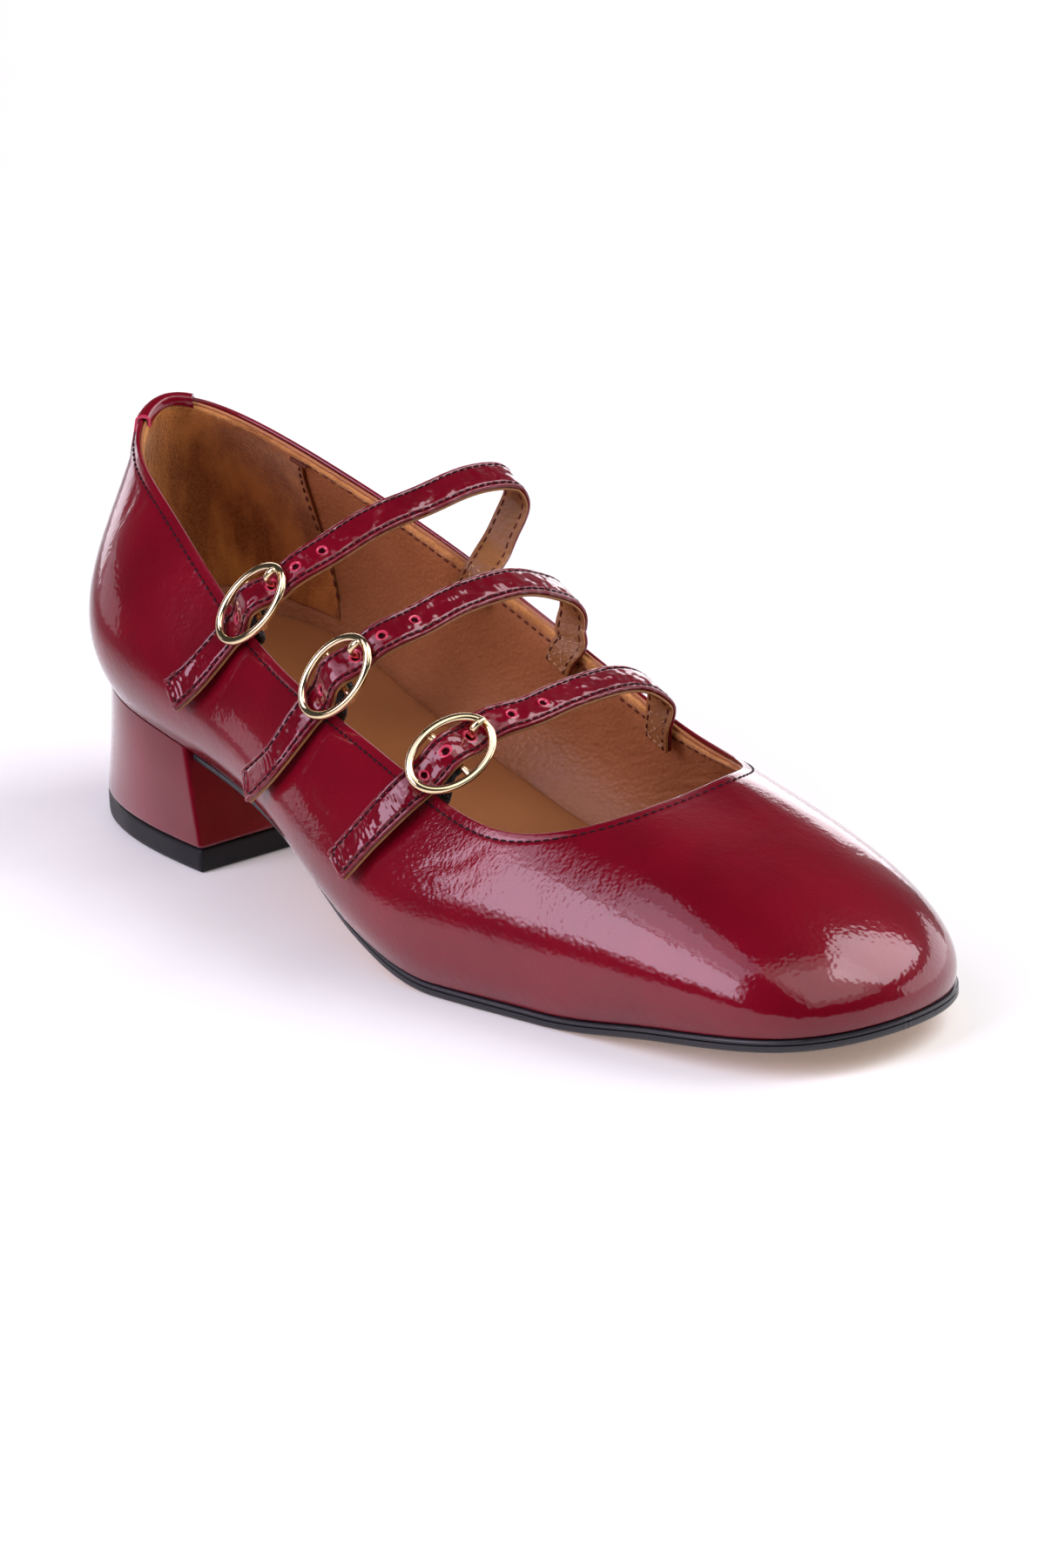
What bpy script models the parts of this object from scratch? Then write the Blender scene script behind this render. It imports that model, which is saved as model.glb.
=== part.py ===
"""Mary jane shoe with three buckled instep straps and a low block heel: a right shoe.

Metres, +X to the toe, +Y to the inner side of the foot, +Z up, and the floor at Z = 0.
The upper is one surface with two parameters. Loop runs round the shoe, counted in sections from the
toe by the outer side to the heel and back by the inner side. Climb runs from 0 at the feather line,
where the upper meets the sole, to 1 at the collar. Straps, elastics, insole, outsole and heel take
their places from that surface and from the named sizes below.
"""
import math
from collections import namedtuple

import bmesh
import bpy
import numpy as np
from mathutils import Matrix, Vector

# Driving sizes of the shoe, in metres
LENGTH = 0.250                  # plumb line behind the heel to the toe
BALL_WIDTH = 0.080              # across the feather line at the ball
BACK_HEIGHT = 0.087             # floor to the collar at the back
HEEL_LIFT = 0.034               # back of the seat above the ball
TOE_SPRING = 0.0066             # toe above the ball
SIDE_SWELL = 0.005              # how far the quarters swell past the feather line
CLEARANCE = 0.0003              # between pieces that touch

# Walls and plates
UPPER_WALL = 0.0018
INSOLE_THICKNESS = 0.0020
SOLE_THICKNESS = 0.0026
SOLE_MARGIN = 0.0006            # outsole edge past the feather line
TOP_PIECE_THICKNESS = 0.0052
HEEL_TAB_WALL = 0.0008
HEEL_TAB_DROP_OUTSIDE = 0.0085
HEEL_TAB_DROP_INSIDE = 0.0020
HEEL_TAB_REACH = 0.55           # sections to each side of the back

# Heel block: where its breast face stands, and its foot
BREAST_TOP_X = 0.0561
BREAST_FOOT_X = 0.0626
HEEL_FOOT_BACK_X = 0.0036
HEEL_FOOT_OUTER = 0.0325        # half width of the foot on the outer side
HEEL_FOOT_INNER = 0.0300
HEEL_FOOT_SQUARENESS = 2.6      # 2 is an ellipse, more is squarer

# Straps, buckles, prongs and elastics
STRAP_WIDTH = 0.0078
STRAP_THICKNESS = 0.0018
STRAP_EDGE = 0.0004             # bevel along each edge
STRAP_SEWN_LOW = 0.80           # climb at the end of the strap inside the quarter
STRAP_SEWN_HIGH = 0.95
BUCKLE_LENGTH = 0.0210          # outside, along the strap
BUCKLE_WIDTH = 0.0150
BUCKLE_WIRE = 0.0018
BAR_THICKNESS = 0.0014
BAR_DROP = 0.0012               # bar below the middle of the ring
HUMP_REACH = 0.0072             # the strap rises over the bar within this distance
ARCH_REACH = 0.0120             # from the buckle's middle up to where the arch begins
STRAP_SIDE = 0.0006             # strap, prong and elastic lie this far heelward in the ring
RIM_ROOM = 0.0006               # between a strap and the rims that it passes under
BAND_ROOM = 0.0007              # more room for a flat band against the curved wall
PRONG_THICKNESS = 0.0014
PRONG_HOLE = 0.0036
PRONG_HOLE_PLACE = 0.0056       # from the bar to the hole, along the strap
ELASTIC_WIDTH = 0.0084
ELASTIC_THICKNESS = 0.0012
ELASTIC_EDGE = 0.0002           # bevel along each edge
ELASTIC_BACK = 0.09             # sections from the strap's crossing toward the heel
ELASTIC_SEWN_LOW = 0.76
ELASTIC_SEWN_HIGH = 0.93

# How finely the forms are divided
AROUND = 72                     # round the upper, twice the rows of the insole
CLIMB_STEPS = 10
PLATE_COLUMNS = 4
HEEL_ROWS = 11
ARCH_STEPS = 27                 # along a strap, from its sewn end to the buckle
HUMP_STEPS = 12
TAIL_STEPS = 8
RING_POINTS = 32
PRONG_STEPS = 14
ELASTIC_STEPS = 14
TAB_STEPS = 10

# Sections of the upper. Shares: x of LENGTH, y of BALL_WIDTH, collar_z of BACK_HEIGHT, swell of
# SIDE_SWELL. The shoulder is the share of the rise that the wall makes before it turns inward.
Section = namedtuple("Section", "name feather_x feather_y collar_x collar_y collar_z shoulder swell")
SECTIONS = (
    Section("toe",               0.988,  0.072, 0.742,  0.055, 0.466, 0.64, 0.33),
    Section("outer_toe_corner",  0.967, -0.193, 0.742, -0.113, 0.456, 0.63, 0.37),
    Section("outer_forepart",    0.878, -0.338, 0.723, -0.258, 0.432, 0.66, 0.50),
    Section("outer_ball",        0.712, -0.448, 0.673, -0.377, 0.411, 0.70, 0.61),
    Section("outer_joint",       0.571, -0.526, 0.592, -0.402, 0.442, 0.70, 0.70),
    Section("outer_waist",       0.434, -0.473, 0.468, -0.378, 0.517, 0.70, 0.98),
    Section("outer_breast",      0.277, -0.381, 0.314, -0.324, 0.616, 0.71, 1.02),
    Section("outer_heel",        0.134, -0.379, 0.169, -0.249, 0.821, 0.72, 1.05),
    Section("outer_heel_curve",  0.055, -0.208, 0.069, -0.149, 0.927, 0.71, 0.84),
    Section("heel_back",         0.031,  0.037, 0.032,  0.009, 0.994, 0.70, 0.69),
    Section("inner_heel_curve",  0.055,  0.252, 0.068,  0.169, 0.959, 0.70, 0.94),
    Section("inner_heel",        0.141,  0.356, 0.168,  0.287, 0.845, 0.70, 1.06),
    Section("inner_breast",      0.278,  0.319, 0.312,  0.361, 0.700, 0.70, 1.11),
    Section("inner_waist",       0.434,  0.308, 0.468,  0.404, 0.534, 0.70, 1.31),
    Section("inner_joint",       0.575,  0.421, 0.592,  0.404, 0.435, 0.70, 0.90),
    Section("inner_ball",        0.687,  0.498, 0.673,  0.357, 0.431, 0.70, 0.58),
    Section("inner_forepart",    0.821,  0.472, 0.722,  0.263, 0.459, 0.66, 0.46),
    Section("inner_toe_corner",  0.945,  0.346, 0.743,  0.153, 0.478, 0.64, 0.32),
)
SECTION_COUNT = len(SECTIONS)
HEEL_BACK_LOOP = SECTION_COUNT / 2

# Side view of the seat and the tread: x as a share of LENGTH, rise as a share of HEEL_LIFT behind
# the ball and of TOE_SPRING before it. The level stretch is the tread.
SeatPoint = namedtuple("SeatPoint", "x lift spring")
SEAT_LINE = (
    SeatPoint(0.00, 1.000, 0.0),
    SeatPoint(0.12, 0.845, 0.0),
    SeatPoint(0.26, 0.640, 0.0),
    SeatPoint(0.40, 0.445, 0.0),
    SeatPoint(0.52, 0.155, 0.0),
    SeatPoint(0.62, 0.000, 0.0),
    SeatPoint(0.73, 0.000, 0.0),
    SeatPoint(0.85, 0.000, 0.5),
    SeatPoint(1.00, 0.000, 1.0),
)

# The outsole's edge against the feather line: x as a share of LENGTH, margin as a share of SOLE_MARGIN.
# It is tucked under at the waist and shows from the ball to the toe.
EdgePoint = namedtuple("EdgePoint", "x margin")
EDGE_LINE = (
    EdgePoint(0.20, -2.0),
    EdgePoint(0.45, -2.0),
    EdgePoint(0.60, 0.3),
    EdgePoint(0.72, 1.0),
    EdgePoint(1.00, 1.0),
)

# An arch goes from the top of the buckle to the inner collar: across is a share of the level distance
# between them, rise a share of the strap's own rise above the inner collar
ArchPoint = namedtuple("ArchPoint", "across rise")
REAR_ARCH = (
    ArchPoint(0.18, 0.645),
    ArchPoint(0.35, 0.780),
    ArchPoint(0.52, 0.870),
    ArchPoint(0.69, 0.925),
    ArchPoint(0.86, 0.995),
    ArchPoint(1.03, 0.995),
    ArchPoint(1.13, 0.900),
    ArchPoint(1.15, 0.715),
    ArchPoint(1.10, 0.477),
    ArchPoint(1.03, 0.243),
)
MIDDLE_ARCH = (
    ArchPoint(0.195, 0.885),
    ArchPoint(0.365, 0.978),
    ArchPoint(0.535, 1.010),
    ArchPoint(0.700, 0.980),
    ArchPoint(0.856, 0.813),
    ArchPoint(0.942, 0.626),
    ArchPoint(0.964, 0.400),
    ArchPoint(0.950, 0.200),
)
FRONT_ARCH = (
    ArchPoint(0.180, 0.930),
    ArchPoint(0.330, 0.977),
    ArchPoint(0.530, 1.000),
    ArchPoint(0.716, 0.946),
    ArchPoint(0.873, 0.680),
    ArchPoint(0.935, 0.330),
)

# One strap a row. outer and inner are loops where the strap crosses the collar. The buckle's middle
# is given from the outer collar point as shares of BUCKLE_LENGTH; along and across are directions.
# The tail's rows are places on the upper, with the gap left under the strap as a share of its thickness.
TailPoint = namedtuple("TailPoint", "loop climb gap")
Strap = namedtuple("Strap", "number outer inner rise tilt arch buckle along across tail")
STRAPS = (
    Strap(1, 6.06, 12.21, 0.0214, 30.0, REAR_ARCH, (0.067, -0.010, 0.357),
          (-0.55, -0.45, -0.70), (0.82, -0.28, -0.48),
          (TailPoint(6.13, 0.55, 0.944), TailPoint(6.22, 0.38, 1.222))),
    Strap(2, 5.24, 12.92, 0.0187, 30.0, MIDDLE_ARCH, (0.179, -0.010, 0.411),
          (-0.53, -0.45, -0.72), (0.86, -0.12, -0.50),
          (TailPoint(5.21, 0.55, 0.944), TailPoint(5.335, 0.31, 1.222))),
    Strap(3, 4.06, 13.83, 0.0129, 26.0, FRONT_ARCH, (0.040, 0.221, 0.368),
          (-0.08, -0.90, -0.45), (0.80, 0.20, -0.56),
          (TailPoint(4.23, 0.59, 1.111), TailPoint(4.335, 0.375, 1.222))),
)

# Colours: linear red, green and blue, then roughness and metallic
Finish = namedtuple("Finish", "name colour roughness metallic")
PATENT = Finish("burgundy_patent", (0.200, 0.004, 0.022), 0.12, 0.0)
LINING = Finish("tan_lining", (0.330, 0.125, 0.040), 0.50, 0.0)
SOLE_LEATHER = Finish("sole_leather", (0.400, 0.200, 0.090), 0.55, 0.0)
RUBBER = Finish("black_rubber", (0.012, 0.012, 0.013), 0.60, 0.0)
GOLD = Finish("pale_gold", (0.820, 0.620, 0.330), 0.16, 1.0)
ELASTIC = Finish("black_elastic", (0.010, 0.010, 0.012), 0.80, 0.0)


def unit(vector):
    """The vector, or each row of an array, at length one."""
    vector = np.asarray(vector, float)
    return vector / np.linalg.norm(vector, axis=-1, keepdims=True)


def closed_spline(rows, loop):
    """Closed cubic spline through the rows, read at each value of loop, where row i is at i."""
    rows = np.asarray(rows, float)
    count = len(rows)
    system = 4.0 * np.eye(count) + np.roll(np.eye(count), 1, 0) + np.roll(np.eye(count), -1, 0)
    bend = 6.0 * (np.roll(rows, 1, 0) - 2.0 * rows + np.roll(rows, -1, 0))
    curvature = np.linalg.solve(system, bend)
    loop = np.mod(np.atleast_1d(np.asarray(loop, float)), count)
    start = np.floor(loop).astype(int) % count
    end = (start + 1) % count
    part = (loop - np.floor(loop))[:, None]
    rest = 1.0 - part
    straight = rest * rows[start] + part * rows[end]
    return straight + ((rest ** 3 - rest) * curvature[start] + (part ** 3 - part) * curvature[end]) / 6.0


def steady_curve(knots, values, places):
    """Cubic through the knots that never overshoots them, so a level stretch stays level."""
    knots = np.asarray(knots, float)
    values = np.asarray(values, float)
    steps = np.diff(knots)
    slopes = np.diff(values) / steps
    rates = np.zeros(len(knots))
    rates[0] = slopes[0]
    rates[-1] = slopes[-1]
    before, after = slopes[:-1], slopes[1:]
    same_way = before * after > 0
    weight_a = 2.0 * steps[1:] + steps[:-1]
    weight_b = steps[1:] + 2.0 * steps[:-1]
    safe_before = np.where(same_way, before, 1.0)
    safe_after = np.where(same_way, after, 1.0)
    middle = (weight_a + weight_b) / (weight_a / safe_before + weight_b / safe_after)
    rates[1:-1] = np.where(same_way, middle, 0.0)
    places = np.clip(places, knots[0], knots[-1])
    span = np.clip(np.searchsorted(knots, places, side="right") - 1, 0, len(steps) - 1)
    width = steps[span]
    part = (places - knots[span]) / width
    rest = 1.0 - part
    return (values[span] * (1.0 + 2.0 * part) * rest ** 2
            + values[span + 1] * (3.0 - 2.0 * part) * part ** 2
            + width * part * rest * (rates[span] * rest - rates[span + 1] * part))


def spline_knots(points):
    """Distance along the chords to each point."""
    steps = np.linalg.norm(np.diff(np.asarray(points, float), axis=0), axis=1)
    return np.concatenate([[0.0], np.cumsum(steps)])


def open_spline(points, places):
    """Natural cubic spline through points, read at places, which are distances along the chords."""
    points = np.asarray(points, float)
    knots = spline_knots(points)
    steps = np.diff(knots)
    size = len(points)
    system = np.eye(size)
    bend = np.zeros_like(points)
    for i in range(1, size - 1):
        system[i, i - 1:i + 2] = steps[i - 1], 2.0 * (steps[i - 1] + steps[i]), steps[i]
        bend[i] = 6.0 * ((points[i + 1] - points[i]) / steps[i] - (points[i] - points[i - 1]) / steps[i - 1])
    curvature = np.linalg.solve(system, bend)
    span = np.clip(np.searchsorted(knots, places, side="right") - 1, 0, size - 2)
    width = steps[span][:, None]
    part = (places[:, None] - knots[span][:, None]) / width
    rest = 1.0 - part
    return (rest * points[span] + part * points[span + 1]
            + ((rest ** 3 - rest) * curvature[span] + (part ** 3 - part) * curvature[span + 1])
            * width ** 2 / 6.0)


def steady_widths(curve, places, knots, widths):
    """Tangents of the curve and width directions between those at the knots, square to the tangents."""
    tangent = unit(np.gradient(curve, places, axis=0))
    widths = np.array(widths)
    width = np.stack([np.interp(places, knots, widths[:, axis]) for axis in range(3)], axis=1)
    return tangent, unit(width - tangent * np.sum(width * tangent, axis=1, keepdims=True))


def seat_height(x):
    """Height of the feather plane, the underside of upper and insole, at x."""
    knots = [point.x * LENGTH for point in SEAT_LINE]
    rises = [point.lift * HEEL_LIFT + point.spring * TOE_SPRING for point in SEAT_LINE]
    return SOLE_THICKNESS + CLEARANCE + steady_curve(knots, rises, np.asarray(x, float))


def section_sizes():
    """The sections in metres, one row each: feather x and y, collar x, y and z, shoulder, swell."""
    scales = np.array([LENGTH, BALL_WIDTH, LENGTH, BALL_WIDTH, BACK_HEIGHT, 1.0, SIDE_SWELL])
    return np.array([section[1:] for section in SECTIONS]) * scales


def feather_normal(loop):
    """Level outward direction of the feather line at each loop."""
    reach = 0.02
    ahead = closed_spline(section_sizes()[:, :2], np.asarray(loop, float) + reach)
    behind = closed_spline(section_sizes()[:, :2], np.asarray(loop, float) - reach)
    tangent = unit(ahead - behind)
    return np.stack([-tangent[:, 1], tangent[:, 0]], axis=1)


def upper_point(loop, climb):
    """Outer surface of the upper, as an array of points for each loop and each climb.

    Seen in plan a point moves from the feather line to the collar by one minus the cosine of the
    climb, plus the swell. Its height rises by the sine, up to the shoulder, and by the cosine after.
    """
    loop = np.atleast_1d(np.asarray(loop, float))
    climb = np.atleast_1d(np.asarray(climb, float))
    rows = closed_spline(section_sizes(), loop)
    feather, collar = rows[:, None, :2], rows[:, None, 2:4]
    turn = np.sin(climb * math.pi / 2)[None, :, None]
    inward = 1.0 - np.cos(climb * math.pi / 2)[None, :, None]
    swell = (6.75 * climb * (1.0 - climb) ** 2)[None, :, None] * rows[:, None, 6:7]
    plan = feather + (collar - feather) * inward + feather_normal(loop)[:, None] * swell
    base = seat_height(rows[:, 0])[:, None, None]
    rise = rows[:, None, 4:5] - base
    shoulder = rows[:, None, 5:6]
    height = base + rise * (shoulder * turn ** (2.0 / 2.2) + (1.0 - shoulder) * inward)
    return np.concatenate([plan, height], axis=2)


def upper_normal(loop, climb):
    """Outward direction of the upper at each loop and climb; level at the feather line."""
    loop = np.atleast_1d(np.asarray(loop, float))
    climb = np.atleast_1d(np.asarray(climb, float))
    step = 0.01
    round_it = upper_point(loop + step, climb) - upper_point(loop - step, climb)
    up_it = upper_point(loop, np.minimum(climb + step, 1.0)) - upper_point(loop, np.maximum(climb - step, 0.0))
    normal = unit(np.cross(up_it, round_it))
    level = np.concatenate([feather_normal(loop), np.zeros((len(loop), 1))], axis=1)
    at_feather = (climb < 1e-6)[None, :, None]
    return np.where(at_feather, level[:, None], normal)


def upper_place(loop, climb, depth):
    """One point at a depth under the outer surface of the upper; a negative depth is outside it."""
    return (upper_point(loop, climb) - upper_normal(loop, climb) * depth)[0, 0]


def new_object(name, mesh, finish, collection):
    """Link an object with this mesh and a Principled material of its own."""
    made = bpy.data.objects.new(name, mesh)
    collection.objects.link(made)
    dress(made, finish)
    return made


def dress(made, finish):
    """Give an object its own material from a finish."""
    material = bpy.data.materials.new(finish.name + "_" + made.name)
    material.use_nodes = True
    shader = material.node_tree.nodes["Principled BSDF"]
    shader.inputs["Base Color"].default_value = (*finish.colour, 1.0)
    shader.inputs["Roughness"].default_value = finish.roughness
    shader.inputs["Metallic"].default_value = finish.metallic
    made.data.materials.clear()
    made.data.materials.append(material)


def closed_mesh(name, points, faces):
    """A mesh from points and faces: doubles merged, normals out, smooth with sharp edges kept."""
    mesh = bpy.data.meshes.new(name)
    mesh.from_pydata([tuple(point) for point in points], [], [tuple(face) for face in faces])
    work = bmesh.new()
    work.from_mesh(mesh)
    bmesh.ops.remove_doubles(work, verts=work.verts, dist=1e-6)
    bmesh.ops.recalc_face_normals(work, faces=work.faces)
    work.to_mesh(mesh)
    work.free()
    mesh.shade_smooth()
    mesh.set_sharp_from_angle(angle=math.radians(40))
    return mesh


def grid_faces(rows, columns, start, closed=False):
    """Quads of a grid of points numbered from start; closed joins the last row to the first."""
    faces = []
    for i in range(rows if closed else rows - 1):
        j = (i + 1) % rows
        for k in range(columns - 1):
            faces.append((start + i * columns + k, start + i * columns + k + 1,
                          start + j * columns + k + 1, start + j * columns + k))
    return faces


def shell_mesh(name, outer, inner):
    """Closed wall between two grids that are closed round their first direction."""
    rows, columns = outer.shape[:2]
    size = rows * columns
    faces = grid_faces(rows, columns, 0, closed=True) + grid_faces(rows, columns, size, closed=True)
    for i in range(rows):
        j = (i + 1) % rows
        for k in (0, columns - 1):
            faces.append((i * columns + k, j * columns + k, size + j * columns + k, size + i * columns + k))
    return closed_mesh(name, np.concatenate([outer.reshape(-1, 3), inner.reshape(-1, 3)]), faces)


def plate_mesh(name, top, bottom):
    """Closed plate between two open grids with the same rows and columns."""
    rows, columns = top.shape[:2]
    size = rows * columns
    faces = grid_faces(rows, columns, 0) + grid_faces(rows, columns, size)
    rim = [i * columns for i in range(rows)]
    rim += [(rows - 1) * columns + k for k in range(1, columns)]
    rim += [i * columns + columns - 1 for i in range(rows - 2, -1, -1)]
    rim += [k for k in range(columns - 2, 0, -1)]
    for here, there in zip(rim, rim[1:] + rim[:1]):
        faces.append((here, there, size + there, size + here))
    return closed_mesh(name, np.concatenate([top.reshape(-1, 3), bottom.reshape(-1, 3)]), faces)


def sweep_mesh(name, sections):
    """Closed solid through closed sections of equal point count, with a flat cap at each end."""
    count, corners = sections.shape[:2]
    faces = []
    for i in range(count - 1):
        for k in range(corners):
            here, there = i * corners + k, i * corners + (k + 1) % corners
            faces.append((here, there, there + corners, here + corners))
    faces.append(tuple(range(corners)))
    faces.append(tuple(range((count - 1) * corners, count * corners)))
    return closed_mesh(name, sections.reshape(-1, 3), faces)


def cross_rows(outer_side, inner_side):
    """Rows of plan points from the outer side to the inner side, PLATE_COLUMNS steps each."""
    share = np.linspace(0.0, 1.0, PLATE_COLUMNS + 1)[None, :, None]
    return outer_side[:, None] * (1.0 - share) + inner_side[:, None] * share


def at_height(plan, height):
    """Plan points lifted to a height, which is a number or an array with one for each point."""
    height = np.broadcast_to(height, plan.shape[:-1])
    return np.concatenate([plan, height[..., None]], axis=-1)


def feather_plan(loop, offset):
    """Plan points of the feather line moved outward by an offset."""
    return closed_spline(section_sizes()[:, :2], loop) + feather_normal(loop) * offset


def sole_edge(loop):
    """Plan points of the outsole's edge."""
    x = feather_plan(loop, 0.0)[:, 0]
    knots = [point.x * LENGTH for point in EDGE_LINE]
    margins = [point.margin * SOLE_MARGIN for point in EDGE_LINE]
    return feather_plan(loop, steady_curve(knots, margins, x)[:, None])


def loop_at_x(low, high, x):
    """Loop between low and high where the feather line crosses x, found by halving."""
    low_ahead = feather_plan([low], 0.0)[0, 0] > x
    for _ in range(40):
        middle = (low + high) / 2
        if (feather_plan([middle], 0.0)[0, 0] > x) == low_ahead:
            low = middle
        else:
            high = middle
    return (low + high) / 2


def breast_x(height):
    """Where the heel's breast face stands at a height."""
    top = float(seat_height(BREAST_TOP_X)) - CLEARANCE
    share = (top - height) / (top - TOP_PIECE_THICKNESS)
    return BREAST_TOP_X + (BREAST_FOOT_X - BREAST_TOP_X) * share


def make_upper(collection):
    """The hollow upper: one wall from the feather line to the collar."""
    loop = np.arange(AROUND) * SECTION_COUNT / AROUND
    climb = np.linspace(0.0, 1.0, CLIMB_STEPS + 1)
    outer = upper_point(loop, climb)
    inner = outer - upper_normal(loop, climb) * UPPER_WALL
    return new_object("upper", shell_mesh("upper", outer, inner), PATENT, collection)


def make_insole(collection):
    """The insole: it lies inside the wall, on the feather plane."""
    loop = np.linspace(0.0, HEEL_BACK_LOOP, AROUND // 2 + 1)
    offset = -(UPPER_WALL + CLEARANCE)
    plan = cross_rows(feather_plan(loop, offset), feather_plan(SECTION_COUNT - loop, offset))
    under = seat_height(plan[..., 0])
    mesh = plate_mesh("insole", at_height(plan, under + INSOLE_THICKNESS), at_height(plan, under))
    return new_object("insole", mesh, LINING, collection)


def make_outsole(collection):
    """The outsole: from the toe to the heel's breast, with its underside level at the tread."""
    under_breast = float(seat_height(BREAST_TOP_X)) - CLEARANCE - SOLE_THICKNESS
    end = breast_x(under_breast) + CLEARANCE
    outer_end = loop_at_x(HEEL_BACK_LOOP / 2, HEEL_BACK_LOOP, end)
    inner_end = loop_at_x(SECTION_COUNT - HEEL_BACK_LOOP / 2, HEEL_BACK_LOOP, end)
    share = np.linspace(0.0, 1.0, AROUND // 2 + 1)
    outer_side = sole_edge(outer_end * share)
    inner_side = sole_edge(SECTION_COUNT + (inner_end - SECTION_COUNT) * share)
    outer_side[-1, 0] = end
    inner_side[-1, 0] = end
    plan = cross_rows(outer_side, inner_side)
    top = seat_height(plan[..., 0]) - CLEARANCE
    mesh = plate_mesh("outsole", at_height(plan, top), at_height(plan, top - SOLE_THICKNESS))
    return new_object("outsole", mesh, SOLE_LEATHER, collection)


def heel_foot_plan():
    """Plan rows of the heel's foot, a squared half ellipse behind the breast."""
    turn = np.linspace(0.0, math.pi / 2, HEEL_ROWS)
    power = 2.0 / HEEL_FOOT_SQUARENESS
    x = BREAST_FOOT_X - (BREAST_FOOT_X - HEEL_FOOT_BACK_X) * np.sin(turn) ** power
    spread = np.clip(np.cos(turn), 0.0, 1.0) ** power
    outer_side = np.stack([x, -HEEL_FOOT_OUTER * spread], axis=1)
    inner_side = np.stack([x, HEEL_FOOT_INNER * spread], axis=1)
    return cross_rows(outer_side, inner_side)


def make_heel_block(collection):
    """The heel block: from the feather line down to its flared foot, with a flat breast."""
    outer_end = loop_at_x(HEEL_BACK_LOOP / 2, HEEL_BACK_LOOP, BREAST_TOP_X)
    inner_end = loop_at_x(SECTION_COUNT - HEEL_BACK_LOOP / 2, HEEL_BACK_LOOP, BREAST_TOP_X)
    share = np.linspace(0.0, 1.0, HEEL_ROWS)
    outer_side = feather_plan(outer_end + (HEEL_BACK_LOOP - outer_end) * share, 0.0)
    inner_side = feather_plan(inner_end + (HEEL_BACK_LOOP - inner_end) * share, 0.0)
    plan = cross_rows(outer_side, inner_side)
    top = at_height(plan, seat_height(plan[..., 0]) - CLEARANCE)
    bottom = at_height(heel_foot_plan(), TOP_PIECE_THICKNESS + CLEARANCE)
    return new_object("heel_block", plate_mesh("heel_block", top, bottom), PATENT, collection)


def make_top_piece(collection):
    """The top piece: the rubber plate under the heel, on the floor."""
    plan = heel_foot_plan()
    mesh = plate_mesh("top_piece", at_height(plan, TOP_PIECE_THICKNESS), at_height(plan, 0.0))
    return new_object("top_piece", mesh, RUBBER, collection)


def make_heel_tab(collection):
    """The tab folded over the collar at the back: down outside, over the edge and down inside."""
    loops = np.linspace(HEEL_BACK_LOOP - HEEL_TAB_REACH, HEEL_BACK_LOOP + HEEL_TAB_REACH, TAB_STEPS)
    near = CLEARANCE
    far = CLEARANCE + HEEL_TAB_WALL
    sections = []
    for loop in loops:
        height = upper_point(loop, 1.0)[0, 0, 2] - seat_height(upper_point(loop, 0.0)[0, 0, 0])
        low_out = 1.0 - 0.8 * HEEL_TAB_DROP_OUTSIDE / height
        low_in = 1.0 - 0.8 * HEEL_TAB_DROP_INSIDE / height
        edge = upper_point(loop, 1.0)[0, 0]
        outward = unit(upper_normal(loop, 1.0)[0, 0] * (1.0, 1.0, 0.0))
        inner_edge = edge - outward * UPPER_WALL
        upward = np.array([0.0, 0.0, 1.0])
        section = [
            upper_place(loop, low_out, -near),
            upper_place(loop, (1.0 + low_out) / 2, -near),
            edge + (outward + upward) * near,
            inner_edge + (upward - outward) * near,
            upper_place(loop, low_in, UPPER_WALL + near),
            upper_place(loop, low_in, UPPER_WALL + far),
            inner_edge - outward * far + upward * near,
            inner_edge - outward * near + upward * far,
            edge + outward * near + upward * far,
            edge + outward * far + upward * near,
            upper_place(loop, (1.0 + low_out) / 2, -far),
            upper_place(loop, low_out, -far),
        ]
        sections.append(section)
    return new_object("heel_tab", sweep_mesh("heel_tab", np.array(sections)), PATENT, collection)


def buckle_frame(strap):
    """The buckle's middle and its along, across and outward directions."""
    outer = upper_point(strap.outer, 1.0)[0, 0]
    inner = upper_point(strap.inner, 1.0)[0, 0]
    over = unit((inner - outer) * (1.0, 1.0, 0.0))
    forward = np.array([over[1], -over[0], 0.0])
    shares = np.array(strap.buckle) * BUCKLE_LENGTH
    middle = outer + forward * shares[0] + over * shares[1] + np.array([0.0, 0.0, shares[2]])
    along = unit(strap.along)
    across = np.array(strap.across)
    across = unit(across - along * (across @ along))
    return middle, along, across, np.cross(along, across)


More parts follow.
